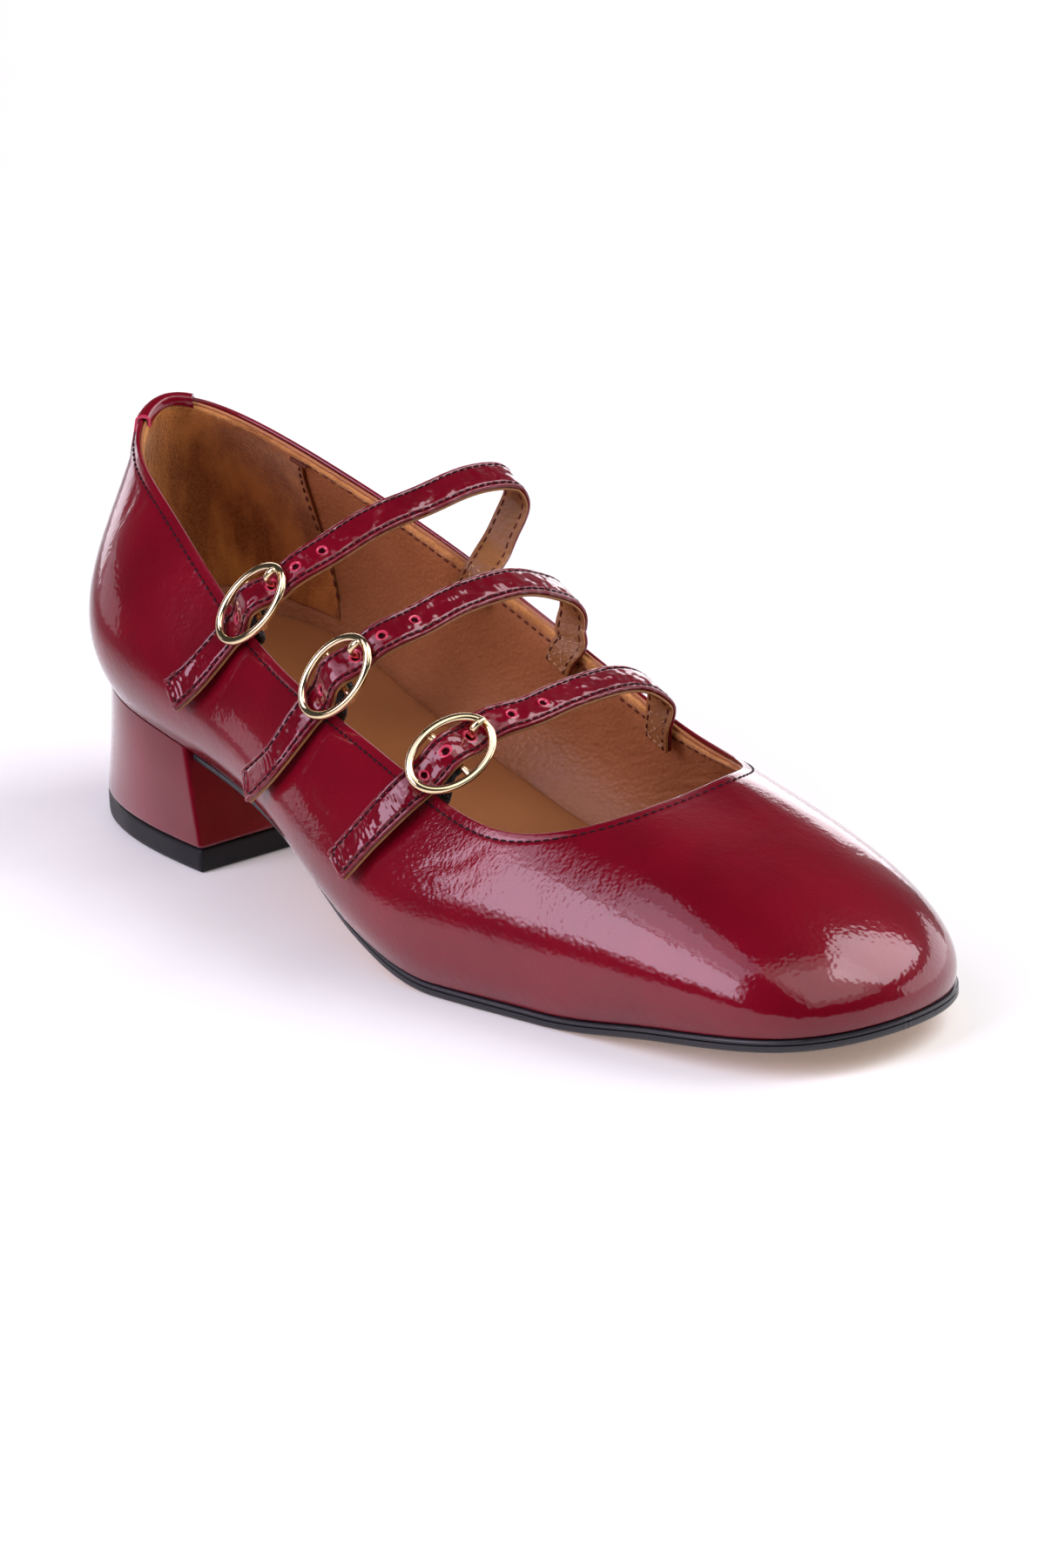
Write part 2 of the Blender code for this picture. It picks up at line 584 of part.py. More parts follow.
def strap_run(strap):
    """The strap's middle line, tangents and width directions, from its sewn end to its tail."""
    middle, along, across, outward = buckle_frame(strap)
    inner = upper_point(strap.inner, 1.0)[0, 0]
    start = middle - along * ARCH_REACH
    over = (inner - start) * (1.0, 1.0, 0.0)
    forward = unit([over[1], -over[0], 0.0])
    inside = UPPER_WALL + CLEARANCE + BAND_ROOM + STRAP_THICKNESS / 2
    rim = (BUCKLE_LENGTH - BUCKLE_WIRE) / 2
    under_rim = BUCKLE_WIRE / 2 + RIM_ROOM + STRAP_THICKNESS / 2
    tilt = math.radians(strap.tilt)
    leaning = forward * math.cos(tilt) - np.array([0.0, 0.0, math.sin(tilt)])

    points = [upper_place(strap.inner, climb, inside) for climb in (STRAP_SEWN_LOW, STRAP_SEWN_HIGH, 1.0)]
    beside = unit(upper_point(strap.inner + 0.1, 1.0)[0, 0] - upper_point(strap.inner - 0.1, 1.0)[0, 0])
    widths = [beside, beside, beside]
    for spot in reversed(strap.arch):
        points.append(start * (1.0, 1.0, 0.0) + over * spot.across
                      + np.array([0.0, 0.0, inner[2] + spot.rise * strap.rise]))
        widths.append(leaning)
    for side in (-1.0, -0.6, 0.0, 0.6, 1.0):
        points.append(middle + along * rim * side - across * STRAP_SIDE - outward * under_rim)
        widths.append(across)
    for spot in strap.tail:
        points.append(upper_place(spot.loop, spot.climb, -(spot.gap + 0.5) * STRAP_THICKNESS))
        ahead = upper_point(spot.loop - 0.05, spot.climb)[0, 0] - upper_point(spot.loop + 0.05, spot.climb)[0, 0]
        widths.append(unit(ahead))

    knots = spline_knots(points)
    at_bar = knots[len(strap.arch) + 5]
    places = np.concatenate([
        np.linspace(0.0, at_bar - HUMP_REACH, ARCH_STEPS, endpoint=False),
        np.linspace(at_bar - HUMP_REACH, at_bar + HUMP_REACH, HUMP_STEPS, endpoint=False),
        np.linspace(at_bar + HUMP_REACH, knots[-1], TAIL_STEPS),
    ])
    lift = under_rim - BAR_DROP + BAR_THICKNESS / 2 + CLEARANCE + STRAP_THICKNESS / 2
    near_bar = np.clip(np.abs(places - at_bar) / HUMP_REACH, 0.0, 1.0)
    curve = open_spline(points, places) + outward * (lift * np.cos(near_bar * math.pi / 2) ** 2)[:, None]
    return curve, *steady_widths(curve, places, knots, widths)


def flat_sections(curve, tangent, width, breadth, thickness, edge):
    """Sections of a flat band: a rectangle with bevelled corners, eight points each."""
    outward = np.cross(tangent, width)
    half, deep = breadth / 2, thickness / 2
    outline = [(-half, -deep + edge), (-half, deep - edge), (-half + edge, deep), (half - edge, deep),
               (half, deep - edge), (half, -deep + edge), (half - edge, -deep), (-half + edge, -deep)]
    return np.stack([curve + width * a + outward * b for a, b in outline], axis=1)


def make_strap(strap, collection):
    """One strap, with the hole that its prong goes through."""
    name = f"strap_{strap.number}"
    sections = flat_sections(*strap_run(strap), STRAP_WIDTH, STRAP_THICKNESS, STRAP_EDGE)
    return new_object(name, sweep_mesh(name, sections), PATENT, collection)


def tube_object(name, points, thickness, closed, finish, collection):
    """A round wire along points, as a curve object with filled ends."""
    curve = bpy.data.curves.new(name, "CURVE")
    curve.dimensions = "3D"
    curve.bevel_depth = thickness / 2
    curve.bevel_resolution = 2
    curve.use_fill_caps = not closed
    spline = curve.splines.new("POLY")
    spline.points.add(len(points) - 1)
    for spot, point in zip(spline.points, points):
        spot.co = (*point, 1.0)
    spline.use_cyclic_u = closed
    return new_object(name, curve, finish, collection)


def make_buckle(strap, collection, cutters):
    """An oval ring with a bar across its middle, joined in one solid."""
    middle, along, across, outward = buckle_frame(strap)
    name = f"buckle_{strap.number}"
    turn = np.arange(RING_POINTS) * 2.0 * math.pi / RING_POINTS
    long_half = (BUCKLE_LENGTH - BUCKLE_WIRE) / 2
    short_half = (BUCKLE_WIDTH - BUCKLE_WIRE) / 2
    ring = middle + np.cos(turn)[:, None] * along * long_half + np.sin(turn)[:, None] * across * short_half
    wire = tube_object(name + "_wire", ring, BUCKLE_WIRE, True, GOLD, collection)
    shaped = bpy.context.evaluated_depsgraph_get()
    mesh = bpy.data.meshes.new_from_object(wire.evaluated_get(shaped))
    buckle = bpy.data.objects.new(name, mesh)
    buckle.matrix_world = wire.matrix_world
    collection.objects.link(buckle)
    bpy.data.objects.remove(wire)

    bpy.ops.mesh.primitive_cylinder_add(vertices=8, radius=BAR_THICKNESS / 2, depth=2.0 * short_half)
    bar = bpy.context.object
    bar.name = name + "_bar"
    axes = Matrix([along, np.cross(across, along), across]).transposed().to_4x4()
    bar.matrix_world = Matrix.Translation(Vector(middle - outward * BAR_DROP)) @ axes
    hide_guide(bar, cutters)
    join = buckle.modifiers.new("bar", "BOOLEAN")
    join.operation = "UNION"
    join.object = bar
    dress(buckle, GOLD)
    return buckle, bar


def hide_guide(guide, cutters):
    """Move a cutter to its own collection, out of sight."""
    for home in list(guide.users_collection):
        home.objects.unlink(guide)
    cutters.objects.link(guide)
    guide.hide_render = True
    guide.display_type = "WIRE"


def prong_points(strap):
    """The prong's middle line: from beside the bar, up through the hole and onto the inner rim."""
    middle, along, across, outward = buckle_frame(strap)
    rim = (BUCKLE_LENGTH - BUCKLE_WIRE) / 2
    beside = BAR_THICKNESS / 2 + CLEARANCE + PRONG_THICKNESS / 2
    on_rim = BUCKLE_WIRE / 2 + CLEARANCE + PRONG_THICKNESS / 2
    under_rim = BUCKLE_WIRE / 2 + RIM_ROOM + STRAP_THICKNESS / 2
    below = -(under_rim + STRAP_THICKNESS / 2 + CLEARANCE + PRONG_THICKNESS / 2)
    spots = [
        (beside, -BAR_DROP - 0.60 * BAR_THICKNESS),
        (0.45 * (beside + PRONG_HOLE_PLACE), 0.90 * below),
        (PRONG_HOLE_PLACE - 0.21 * PRONG_THICKNESS, 0.86 * below),
        (PRONG_HOLE_PLACE + 0.14 * PRONG_THICKNESS, -under_rim),
        (PRONG_HOLE_PLACE + 0.36 * PRONG_THICKNESS, -0.2 * under_rim),
        (PRONG_HOLE_PLACE + 0.93 * PRONG_THICKNESS, 0.75 * on_rim),
        (0.5 * (PRONG_HOLE_PLACE + rim) + 0.57 * PRONG_THICKNESS, on_rim),
        (rim + 0.21 * PRONG_THICKNESS, on_rim),
    ]
    return np.array([middle - across * STRAP_SIDE - along * back + outward * up for back, up in spots])


def make_prong(strap, collection):
    """The prong of one buckle."""
    spots = prong_points(strap)
    points = open_spline(spots, np.linspace(0.0, spline_knots(spots)[-1], PRONG_STEPS))
    return tube_object(f"prong_{strap.number}", points, PRONG_THICKNESS, False, GOLD, collection)


def cut_prong_hole(strap, made, cutters):
    """Cut the hole that the prong goes through, square to the strap."""
    middle, along, across, outward = buckle_frame(strap)
    name = f"hole_{strap.number}"
    bpy.ops.mesh.primitive_cylinder_add(vertices=12, radius=PRONG_HOLE / 2, depth=4.0 * STRAP_THICKNESS)
    drill = bpy.context.object
    drill.name = name
    axes = Matrix([along, np.cross(outward, along), outward]).transposed().to_4x4()
    under_rim = BUCKLE_WIRE / 2 + RIM_ROOM + STRAP_THICKNESS / 2
    place = middle - along * PRONG_HOLE_PLACE - across * STRAP_SIDE - outward * under_rim
    drill.matrix_world = Matrix.Translation(Vector(place)) @ axes
    hide_guide(drill, cutters)
    cut = made.modifiers.new("prong_hole", "BOOLEAN")
    cut.operation = "DIFFERENCE"
    cut.object = drill
    return drill


def make_elastic(strap, collection):
    """The elastic band that holds a buckle: from under the bar down inside the outer quarter."""
    middle, along, across, outward = buckle_frame(strap)
    under_bar = BAR_DROP + BAR_THICKNESS / 2 + RIM_ROOM + ELASTIC_THICKNESS / 2
    inside = UPPER_WALL + CLEARANCE + BAND_ROOM + ELASTIC_THICKNESS / 2
    loop = strap.outer + ELASTIC_BACK
    at_bar = middle - across * STRAP_SIDE
    points = [at_bar - outward * under_bar - along * BAR_THICKNESS / 2,
              at_bar - outward * (under_bar + BAND_ROOM) + along * 1.5 * BAR_THICKNESS]
    points += [upper_place(loop, climb, inside) for climb in (1.0, ELASTIC_SEWN_HIGH, ELASTIC_SEWN_LOW)]
    ahead = unit(upper_point(loop - 0.05, 0.9)[0, 0] - upper_point(loop + 0.05, 0.9)[0, 0])
    knots = spline_knots(points)
    places = np.linspace(0.0, knots[-1], ELASTIC_STEPS)
    curve = open_spline(points, places)
    tangent, width = steady_widths(curve, places, knots, [across, across, ahead, ahead, ahead])
    sections = flat_sections(curve, tangent, width, ELASTIC_WIDTH, ELASTIC_THICKNESS, ELASTIC_EDGE)
    name = f"elastic_{strap.number}"
    return new_object(name, sweep_mesh(name, sections), ELASTIC, collection)


def centre_on_floor(pieces, guides, collection):
    """Parent everything to an empty that brings the middle of the shoe's box over the origin."""
    bpy.context.view_layer.update()
    shaped = bpy.context.evaluated_depsgraph_get()
    corners = []
    for piece in pieces:
        mesh = bpy.data.meshes.new_from_object(piece.evaluated_get(shaped))
        corners += [piece.matrix_world @ vertex.co for vertex in mesh.vertices]
        bpy.data.meshes.remove(mesh)
    middle_x = (min(c.x for c in corners) + max(c.x for c in corners)) / 2
    middle_y = (min(c.y for c in corners) + max(c.y for c in corners)) / 2
    stand = bpy.data.objects.new("shoe_stand", None)
    collection.objects.link(stand)
    for made in pieces + guides:
        made.parent = stand
    stand.location = (-middle_x, -middle_y, 0.0)
    bpy.context.view_layer.update()


def clear_scene():
    """Remove every object that is in the scene."""
    for old in list(bpy.data.objects):
        bpy.data.objects.remove(old)


def new_collection(name):
    """A new collection linked to the scene."""
    made = bpy.data.collections.new(name)
    bpy.context.scene.collection.children.link(made)
    return made


def main():
    """Model the shoe."""
    clear_scene()
    shoe = new_collection("mary_jane_shoe")
    cutters = new_collection("cutters")
    pieces = [make(shoe) for make in (make_upper, make_insole, make_outsole, make_heel_block,
                                      make_top_piece, make_heel_tab)]
    guides = []
    for strap in STRAPS:
        band = make_strap(strap, shoe)
        buckle, bar = make_buckle(strap, shoe, cutters)
        drill = cut_prong_hole(strap, band, cutters)
        pieces += [band, buckle, make_prong(strap, shoe), make_elastic(strap, shoe)]
        guides += [bar, drill]
    centre_on_floor(pieces, guides, shoe)


main()
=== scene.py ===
"""Looks of a mary jane shoe with three buckled straps, a right shoe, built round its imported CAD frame.

Every piece is drawn in metres from the plumb line behind the heel, +X to the toe, +Y to the inner
side and +Z up, and is moved by one shift into the frame of the CAD when its mesh is made.
The leather form has two parameters: loop runs round the shoe in sections, from the toe by the outer
side to the heel and back by the inner side, and climb runs from 0 at the sole to 1 at the collar.
"""

import logging
import math
from collections.abc import Sequence
from dataclasses import dataclass, field
from enum import Enum

import bmesh
import bpy
import numpy as np
from mathutils import Matrix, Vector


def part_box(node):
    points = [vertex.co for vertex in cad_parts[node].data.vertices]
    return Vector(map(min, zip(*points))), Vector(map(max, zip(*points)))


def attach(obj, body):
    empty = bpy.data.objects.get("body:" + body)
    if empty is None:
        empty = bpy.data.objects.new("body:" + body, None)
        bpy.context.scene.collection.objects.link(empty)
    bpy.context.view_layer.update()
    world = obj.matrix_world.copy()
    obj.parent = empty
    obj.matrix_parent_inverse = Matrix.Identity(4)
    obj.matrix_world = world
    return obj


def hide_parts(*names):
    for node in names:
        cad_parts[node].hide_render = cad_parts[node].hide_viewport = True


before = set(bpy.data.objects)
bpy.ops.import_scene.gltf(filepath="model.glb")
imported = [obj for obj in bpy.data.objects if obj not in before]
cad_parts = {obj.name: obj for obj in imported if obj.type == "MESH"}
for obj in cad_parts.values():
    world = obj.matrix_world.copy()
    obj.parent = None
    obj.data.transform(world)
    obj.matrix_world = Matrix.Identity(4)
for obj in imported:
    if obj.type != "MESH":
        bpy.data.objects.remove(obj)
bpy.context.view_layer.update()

Array = np.ndarray
Spot = tuple[float, float]
Colour = tuple[float, float, float]
Socket = bpy.types.NodeSocket

LOG = logging.getLogger("shoe")
UP = np.array([0.0, 0.0, 1.0])
LEVEL = np.array([1.0, 1.0, 0.0])


# ---------------- curves and grids


def unit(vector: Array | Sequence[float]) -> Array:
    """Return the vector, or each row of an array, at length one."""
    vector = np.asarray(vector, float)
    return vector / np.maximum(np.linalg.norm(vector, axis=-1, keepdims=True), 1e-12)


def closed_spline(rows: Array, loop: Array) -> Array:
    """Read a closed cubic spline, where row i lies at loop i.

    Each span is the straight line between its rows plus the cubic whose second derivative runs
    evenly between the curvatures that make the whole curve smooth.

    Args:
        rows: Points of the spline, one a row.
        loop: Places to read.

    Returns:
        One row for each place.
    """
    rows = np.asarray(rows, float)
    count = len(rows)
    system = 4.0 * np.eye(count) + np.roll(np.eye(count), 1, 0) + np.roll(np.eye(count), -1, 0)
    bend = 6.0 * (np.roll(rows, 1, 0) - 2.0 * rows + np.roll(rows, -1, 0))
    curvature = np.linalg.solve(system, bend)
    loop = np.mod(np.atleast_1d(np.asarray(loop, float)), count)
    start = np.floor(loop).astype(int) % count
    end = (start + 1) % count
    part = (loop - np.floor(loop))[:, None]
    rest = 1.0 - part
    bent = (rest ** 3 - rest) * curvature[start] + (part ** 3 - part) * curvature[end]
    return rest * rows[start] + part * rows[end] + bent / 6.0


def steady_curve(knots: Sequence[float], values: Sequence[float], places: Array) -> Array:
    """Read a cubic through the knots that never overshoots them, so a level stretch stays level.

    Args:
        knots: Places of the values, rising.
        values: One value a knot.
        places: Where the curve is read.

    Returns:
        The curve's values. The slope at a knot is the weighted harmonic mean of its neighbours'.
    """
    knots, values = np.asarray(knots, float), np.asarray(values, float)
    steps = np.diff(knots)
    slopes = np.diff(values) / steps
    before, after = slopes[:-1], slopes[1:]
    same_way = before * after > 0
    weight_a, weight_b = 2.0 * steps[1:] + steps[:-1], steps[1:] + 2.0 * steps[:-1]
    middle = (weight_a + weight_b) / (weight_a / np.where(same_way, before, 1.0)
                                      + weight_b / np.where(same_way, after, 1.0))
    rates = np.concatenate([[slopes[0]], np.where(same_way, middle, 0.0), [slopes[-1]]])
    places = np.clip(places, knots[0], knots[-1])
    span = np.clip(np.searchsorted(knots, places, side="right") - 1, 0, len(steps) - 1)
    width = steps[span]
    part = (places - knots[span]) / width
    rest = 1.0 - part
    return (values[span] * (1.0 + 2.0 * part) * rest ** 2
            + values[span + 1] * (3.0 - 2.0 * part) * part ** 2
            + width * part * rest * (rates[span] * rest - rates[span + 1] * part))


def chord_places(points: Array) -> Array:
    """Return the distance along the chords to each point."""
    return np.concatenate([[0.0], np.cumsum(np.linalg.norm(np.diff(points, axis=0), axis=1))])


def open_spline(points: Array, places: Array) -> Array:
    """Read a natural cubic spline through points.

    Args:
        points: The points, one a row.
        places: Distances along the chords.

    Returns:
        One point for each place, by the same cubic as the closed spline but free at its ends.
    """
    points = np.asarray(points, float)
    knots = chord_places(points)
    steps = np.diff(knots)
    size = len(points)
    system = np.eye(size)
    bend = np.zeros_like(points)
    inner = np.arange(1, size - 1)
    system[inner, inner - 1] = steps[:-1]
    system[inner, inner] = 2.0 * (steps[:-1] + steps[1:])
    system[inner, inner + 1] = steps[1:]
    slopes = np.diff(points, axis=0) / steps[:, None]
    bend[1:-1] = 6.0 * np.diff(slopes, axis=0)
    curvature = np.linalg.solve(system, bend)
    span = np.clip(np.searchsorted(knots, places, side="right") - 1, 0, size - 2)
    width = steps[span][:, None]
    part = (places[:, None] - knots[span][:, None]) / width
    rest = 1.0 - part
    bent = (rest ** 3 - rest) * curvature[span] + (part ** 3 - part) * curvature[span + 1]
    return rest * points[span] + part * points[span + 1] + bent * width ** 2 / 6.0


def read_rows(places: Array, knots: Array, rows: Array) -> Array:
    """Return rows of values at places, by straight lines between those at the knots."""
    return np.stack([np.interp(places, knots, column) for column in rows.T], axis=1)


def resample(points: Array, places: Array) -> Array:
    """Return the points of a chain at distances along it, by straight lines between them."""
    return read_rows(places, chord_places(points), points)


def square_to(tangent: Array, wanted: Array) -> Array:
    """Return the wanted directions, made square to the tangents, one a row."""
    return unit(wanted - tangent * np.sum(wanted * tangent, axis=1, keepdims=True))


def grid_quads(rows: int, columns: int, rows_closed: bool, columns_closed: bool) -> Array:
    """Number the quads of a grid of points.

    Args:
        rows: Points along the first direction.
        columns: Points along the second direction.
        rows_closed: Whether the last row joins the first.
        columns_closed: Whether the last column joins the first.

    Returns:
        Four point numbers a quad.
    """
    i, k = np.meshgrid(np.arange(rows - (not rows_closed)), np.arange(columns - (not columns_closed)),
                       indexing="ij")
    j, m = (i + 1) % rows, (k + 1) % columns
    quads = np.stack([i * columns + k, i * columns + m, j * columns + m, j * columns + k], axis=-1)
    return quads.reshape(-1, 4)


@dataclass
class Sheet:
    """Points and faces of one mesh, with marks that its material reads.

    Attributes:
        points: One point a row.
        faces: Lists of point numbers.
        marks: Named values, one a point: a number, or three for a direction.
    """

    points: Array
    faces: list
    marks: dict = field(default_factory=dict)

    @classmethod
    def slab(cls, rings: Array, marks: dict | None = None) -> "Sheet":
        """Close a row of flat rings, whose first half is the face and second half the back.

        Args:
            rings: Rows of closed rings, rows by an even number of points by 3.
            marks: Grids of values, rows by points.

        Returns:
            The closed sheet. A strip from face to back closes each end.
        """
        rows, columns = rings.shape[:2]
        k = np.arange(columns // 2 - 1)
        start = np.stack([k + 1, k, columns - 1 - k, columns - 2 - k], axis=1)
        end = start[:, ::-1] + (rows - 1) * columns
        faces = grid_quads(rows, columns, False, True).tolist() + start.tolist() + end.tolist()
        flat = {name: grid.reshape(rows * columns, -1) for name, grid in (marks or {}).items()}
        return cls(rings.reshape(-1, 3), faces, flat)

    @classmethod
    def tube(cls, rings: Array, marks: dict | None = None) -> "Sheet":
        """Close a row of rings with a fan at each end.

        Args:
            rings: Rows of closed rings, rows by points by 3.
            marks: Grids of values, rows by points.

        Returns:
            The closed sheet. Each end's middle is the mean of its ring.
        """
        rows, columns = rings.shape[:2]
        faces = grid_quads(rows, columns, False, True).tolist()
        first, last = rows * columns, rows * columns + 1
        k = np.arange(columns)
        faces += np.stack([(k + 1) % columns, k, np.full(columns, first)], axis=1).tolist()
        base = (rows - 1) * columns
        faces += np.stack([base + k, base + (k + 1) % columns, np.full(columns, last)], axis=1).tolist()
        points = np.concatenate([rings.reshape(-1, 3), rings[:1].mean(1), rings[-1:].mean(1)])
        made = {}
        for name, grid in (marks or {}).items():
            flat = grid.reshape(rows * columns, -1)
            made[name] = np.concatenate([flat, grid[:1].reshape(1, columns, -1).mean(1),
                                         grid[-1:].reshape(1, columns, -1).mean(1)])
        return cls(points, faces, made)

    @classmethod
    def torus(cls, grid: Array, marks: dict | None = None) -> "Sheet":
        """Join a grid of points round both directions."""
        flat = {name: values.reshape(grid.shape[0] * grid.shape[1], -1)
                for name, values in (marks or {}).items()}
        return cls(grid.reshape(-1, 3), grid_quads(*grid.shape[:2], True, True).tolist(), flat)

    @classmethod
    def join(cls, sheets: Sequence["Sheet"]) -> "Sheet":
        """Put separate sheets into one.

        Args:
            sheets: The sheets, in order.

        Returns:
            One sheet, with the marks that all of them have.
        """
        starts = np.cumsum([0] + [len(sheet.points) for sheet in sheets[:-1]])
        faces = [[number + int(start) for number in face] for sheet, start in zip(sheets, starts)
                 for face in sheet.faces]
        names = set.intersection(*[set(sheet.marks) for sheet in sheets])
        marks = {name: np.concatenate([sheet.marks[name] for sheet in sheets]) for name in sorted(names)}
        return cls(np.concatenate([sheet.points for sheet in sheets]), faces, marks)


@dataclass(frozen=True)
class Seam:
    """The sizes of one seam.

    Attributes:
        pitch: Distance between the stitches' middles.
        length: Length of a stitch.
        thickness: Thickness of the thread.
    """

    pitch: float
    length: float
    thickness: float


def stitches(middles: Array, along: Array, outward: Array, seam: Seam) -> Sheet:
    """Shape a row of stitches.

    Each stitch is a spindle: three rings of six points between two poles, with the end rings at 0.78
    of the half length and 0.75 of the radius.

    Args:
        middles: Middle of each stitch.
        along: Direction of each stitch.
        outward: Direction away from the leather.
        seam: Sizes of the stitches.

    Returns:
        All stitches as one sheet.
    """
    turn = np.arange(6) * math.pi / 3
    half, radius = seam.length / 2, seam.thickness / 2
    rings = [np.stack([np.full(6, x * half), np.cos(turn) * r * radius,
                       np.sin(turn) * r * radius], axis=1)
             for x, r in ((-0.78, 0.75), (0.0, 1.0), (0.78, 0.75))]
    shape = np.concatenate(rings + [np.array([[-half, 0.0, 0.0], [half, 0.0, 0.0]])])
    k = np.arange(6)
    m = (k + 1) % 6
    quads = np.concatenate([np.stack([s + k, s + m, s + 6 + m, s + 6 + k], axis=1) for s in (0, 6)])
    tips = np.concatenate([np.stack([m, k, np.full(6, 18)], axis=1),
                           np.stack([12 + k, 12 + m, np.full(6, 19)], axis=1)])
    along = unit(along)
    outward = square_to(along, outward)
    beside = np.cross(along, outward)
    points = (middles[:, None] + along[:, None] * shape[None, :, :1]
              + beside[:, None] * shape[None, :, 1:2] + outward[:, None] * shape[None, :, 2:])
    starts = (np.arange(len(middles)) * len(shape))[:, None, None]
    faces = (quads[None] + starts).reshape(-1, 4).tolist()
    faces += (tips[None] + starts).reshape(-1, 3).tolist()
    return Sheet(points.reshape(-1, 3), faces)


def stitch_line(line: Array, outward: Array, seam: Seam, closed: bool = False) -> Sheet:
    """Sew evenly along a line.

    Args:
        line: Points of the line.
        outward: Direction away from the leather at each point.
        seam: Sizes of the stitches.
        closed: Whether the line ends where it starts.

    Returns:
        The stitches, their middles at equal distances along the line.
    """
    if closed:
        line, outward = np.concatenate([line, line[:1]]), np.concatenate([outward, outward[:1]])
    knots = chord_places(line)
    count = max(2, round(knots[-1] / seam.pitch))
    places = (np.arange(count) + 0.5) * knots[-1] / count
    quarter = seam.pitch / 4
    along = resample(line, places + quarter) - resample(line, places - quarter)
    return stitches(resample(line, places), along, unit(read_rows(places, knots, outward)), seam)


# ---------------- the leather form


@dataclass(frozen=True)
class Crease:
    """A soft trough along a path, with a low ridge on each side.

    Attributes:
        path: Places on the form, as loop and climb.
        width: Half width of the trough.
        depth: Depth of the trough at its middle.
    """

    path: tuple[Spot, ...]
    width: float
    depth: float

    def lift(self, form: "ShoeForm", points: Array) -> Array:
        """Work out how far each point moves outward.

        The move is minus the depth times the bell of the distance to the path, plus three tenths of
        it times the bell of the distance past twice the width, and it fades to the path's ends.

        Args:
            form: The form that carries the path.
            points: Points of the leather, any grid by 3.

        Returns:
            One move a point.
        """
        corners = np.array([form.outer(loop, climb)[0, 0] for loop, climb in self.path])
        knots = chord_places(corners)
        chain = open_spline(corners, np.linspace(0.0, knots[-1], 24))
        distance = np.full(points.shape[:-1], 1.0)
        share = np.zeros(points.shape[:-1])
        for number, (start, end) in enumerate(zip(chain[:-1], chain[1:])):
            step = end - start
            part = np.clip((points - start) @ step / (step @ step), 0.0, 1.0)
            here = np.linalg.norm(points - start - part[..., None] * step, axis=-1)
            nearer = here < distance
            distance = np.where(nearer, here, distance)
            share = np.where(nearer, (number + part) / 23.0, share)
        fade = np.sin(math.pi * np.clip(share, 0.02, 0.98)) ** 0.7
        bell = np.exp(-(distance / self.width) ** 2)
        ridge = np.exp(-((distance - 2.0 * self.width) / self.width) ** 2)
        return self.depth * fade * (0.3 * ridge - bell)


@dataclass(frozen=True)
class Gather:
    """A patch of fine folds.

    Attributes:
        spot: Middle of the patch, as loop and climb.
        reach: Half length along the loop, then up the wall.
        amount: How deep the folds are.
        steep: Whether the folds run up the wall, not along it.
    """

    spot: Spot
    reach: Spot
    amount: float
    steep: bool = False

    def weigh(self, form: "ShoeForm", points: Array) -> Array:
        """Work out how strongly each point is folded.

        The weight is the amount times the bell of the distances along the loop, up the wall and off
        it, each over its reach.

        Args:
            form: The form that carries the patch.
            points: Points of the leather, any grid by 3.

        Returns:
            Weights of level folds and of steep ones, last in the array.
        """
        loop, climb = self.spot
        middle = form.outer(loop, climb)[0, 0]
        normal = form.normal(loop, climb)[0, 0]
        round_it = form.ahead(loop, climb, 0.02)
        up_it = np.cross(normal, round_it)
        along, up, off = [(points - middle) @ way for way in (round_it, up_it, normal)]
        bell = self.amount * np.exp(-(along / self.reach[0]) ** 2 - (up / self.reach[1]) ** 2
                                    - (off / 0.012) ** 2)
        none = np.zeros_like(bell)
        return np.stack([none, bell, none] if self.steep else [bell, none, none], axis=-1)


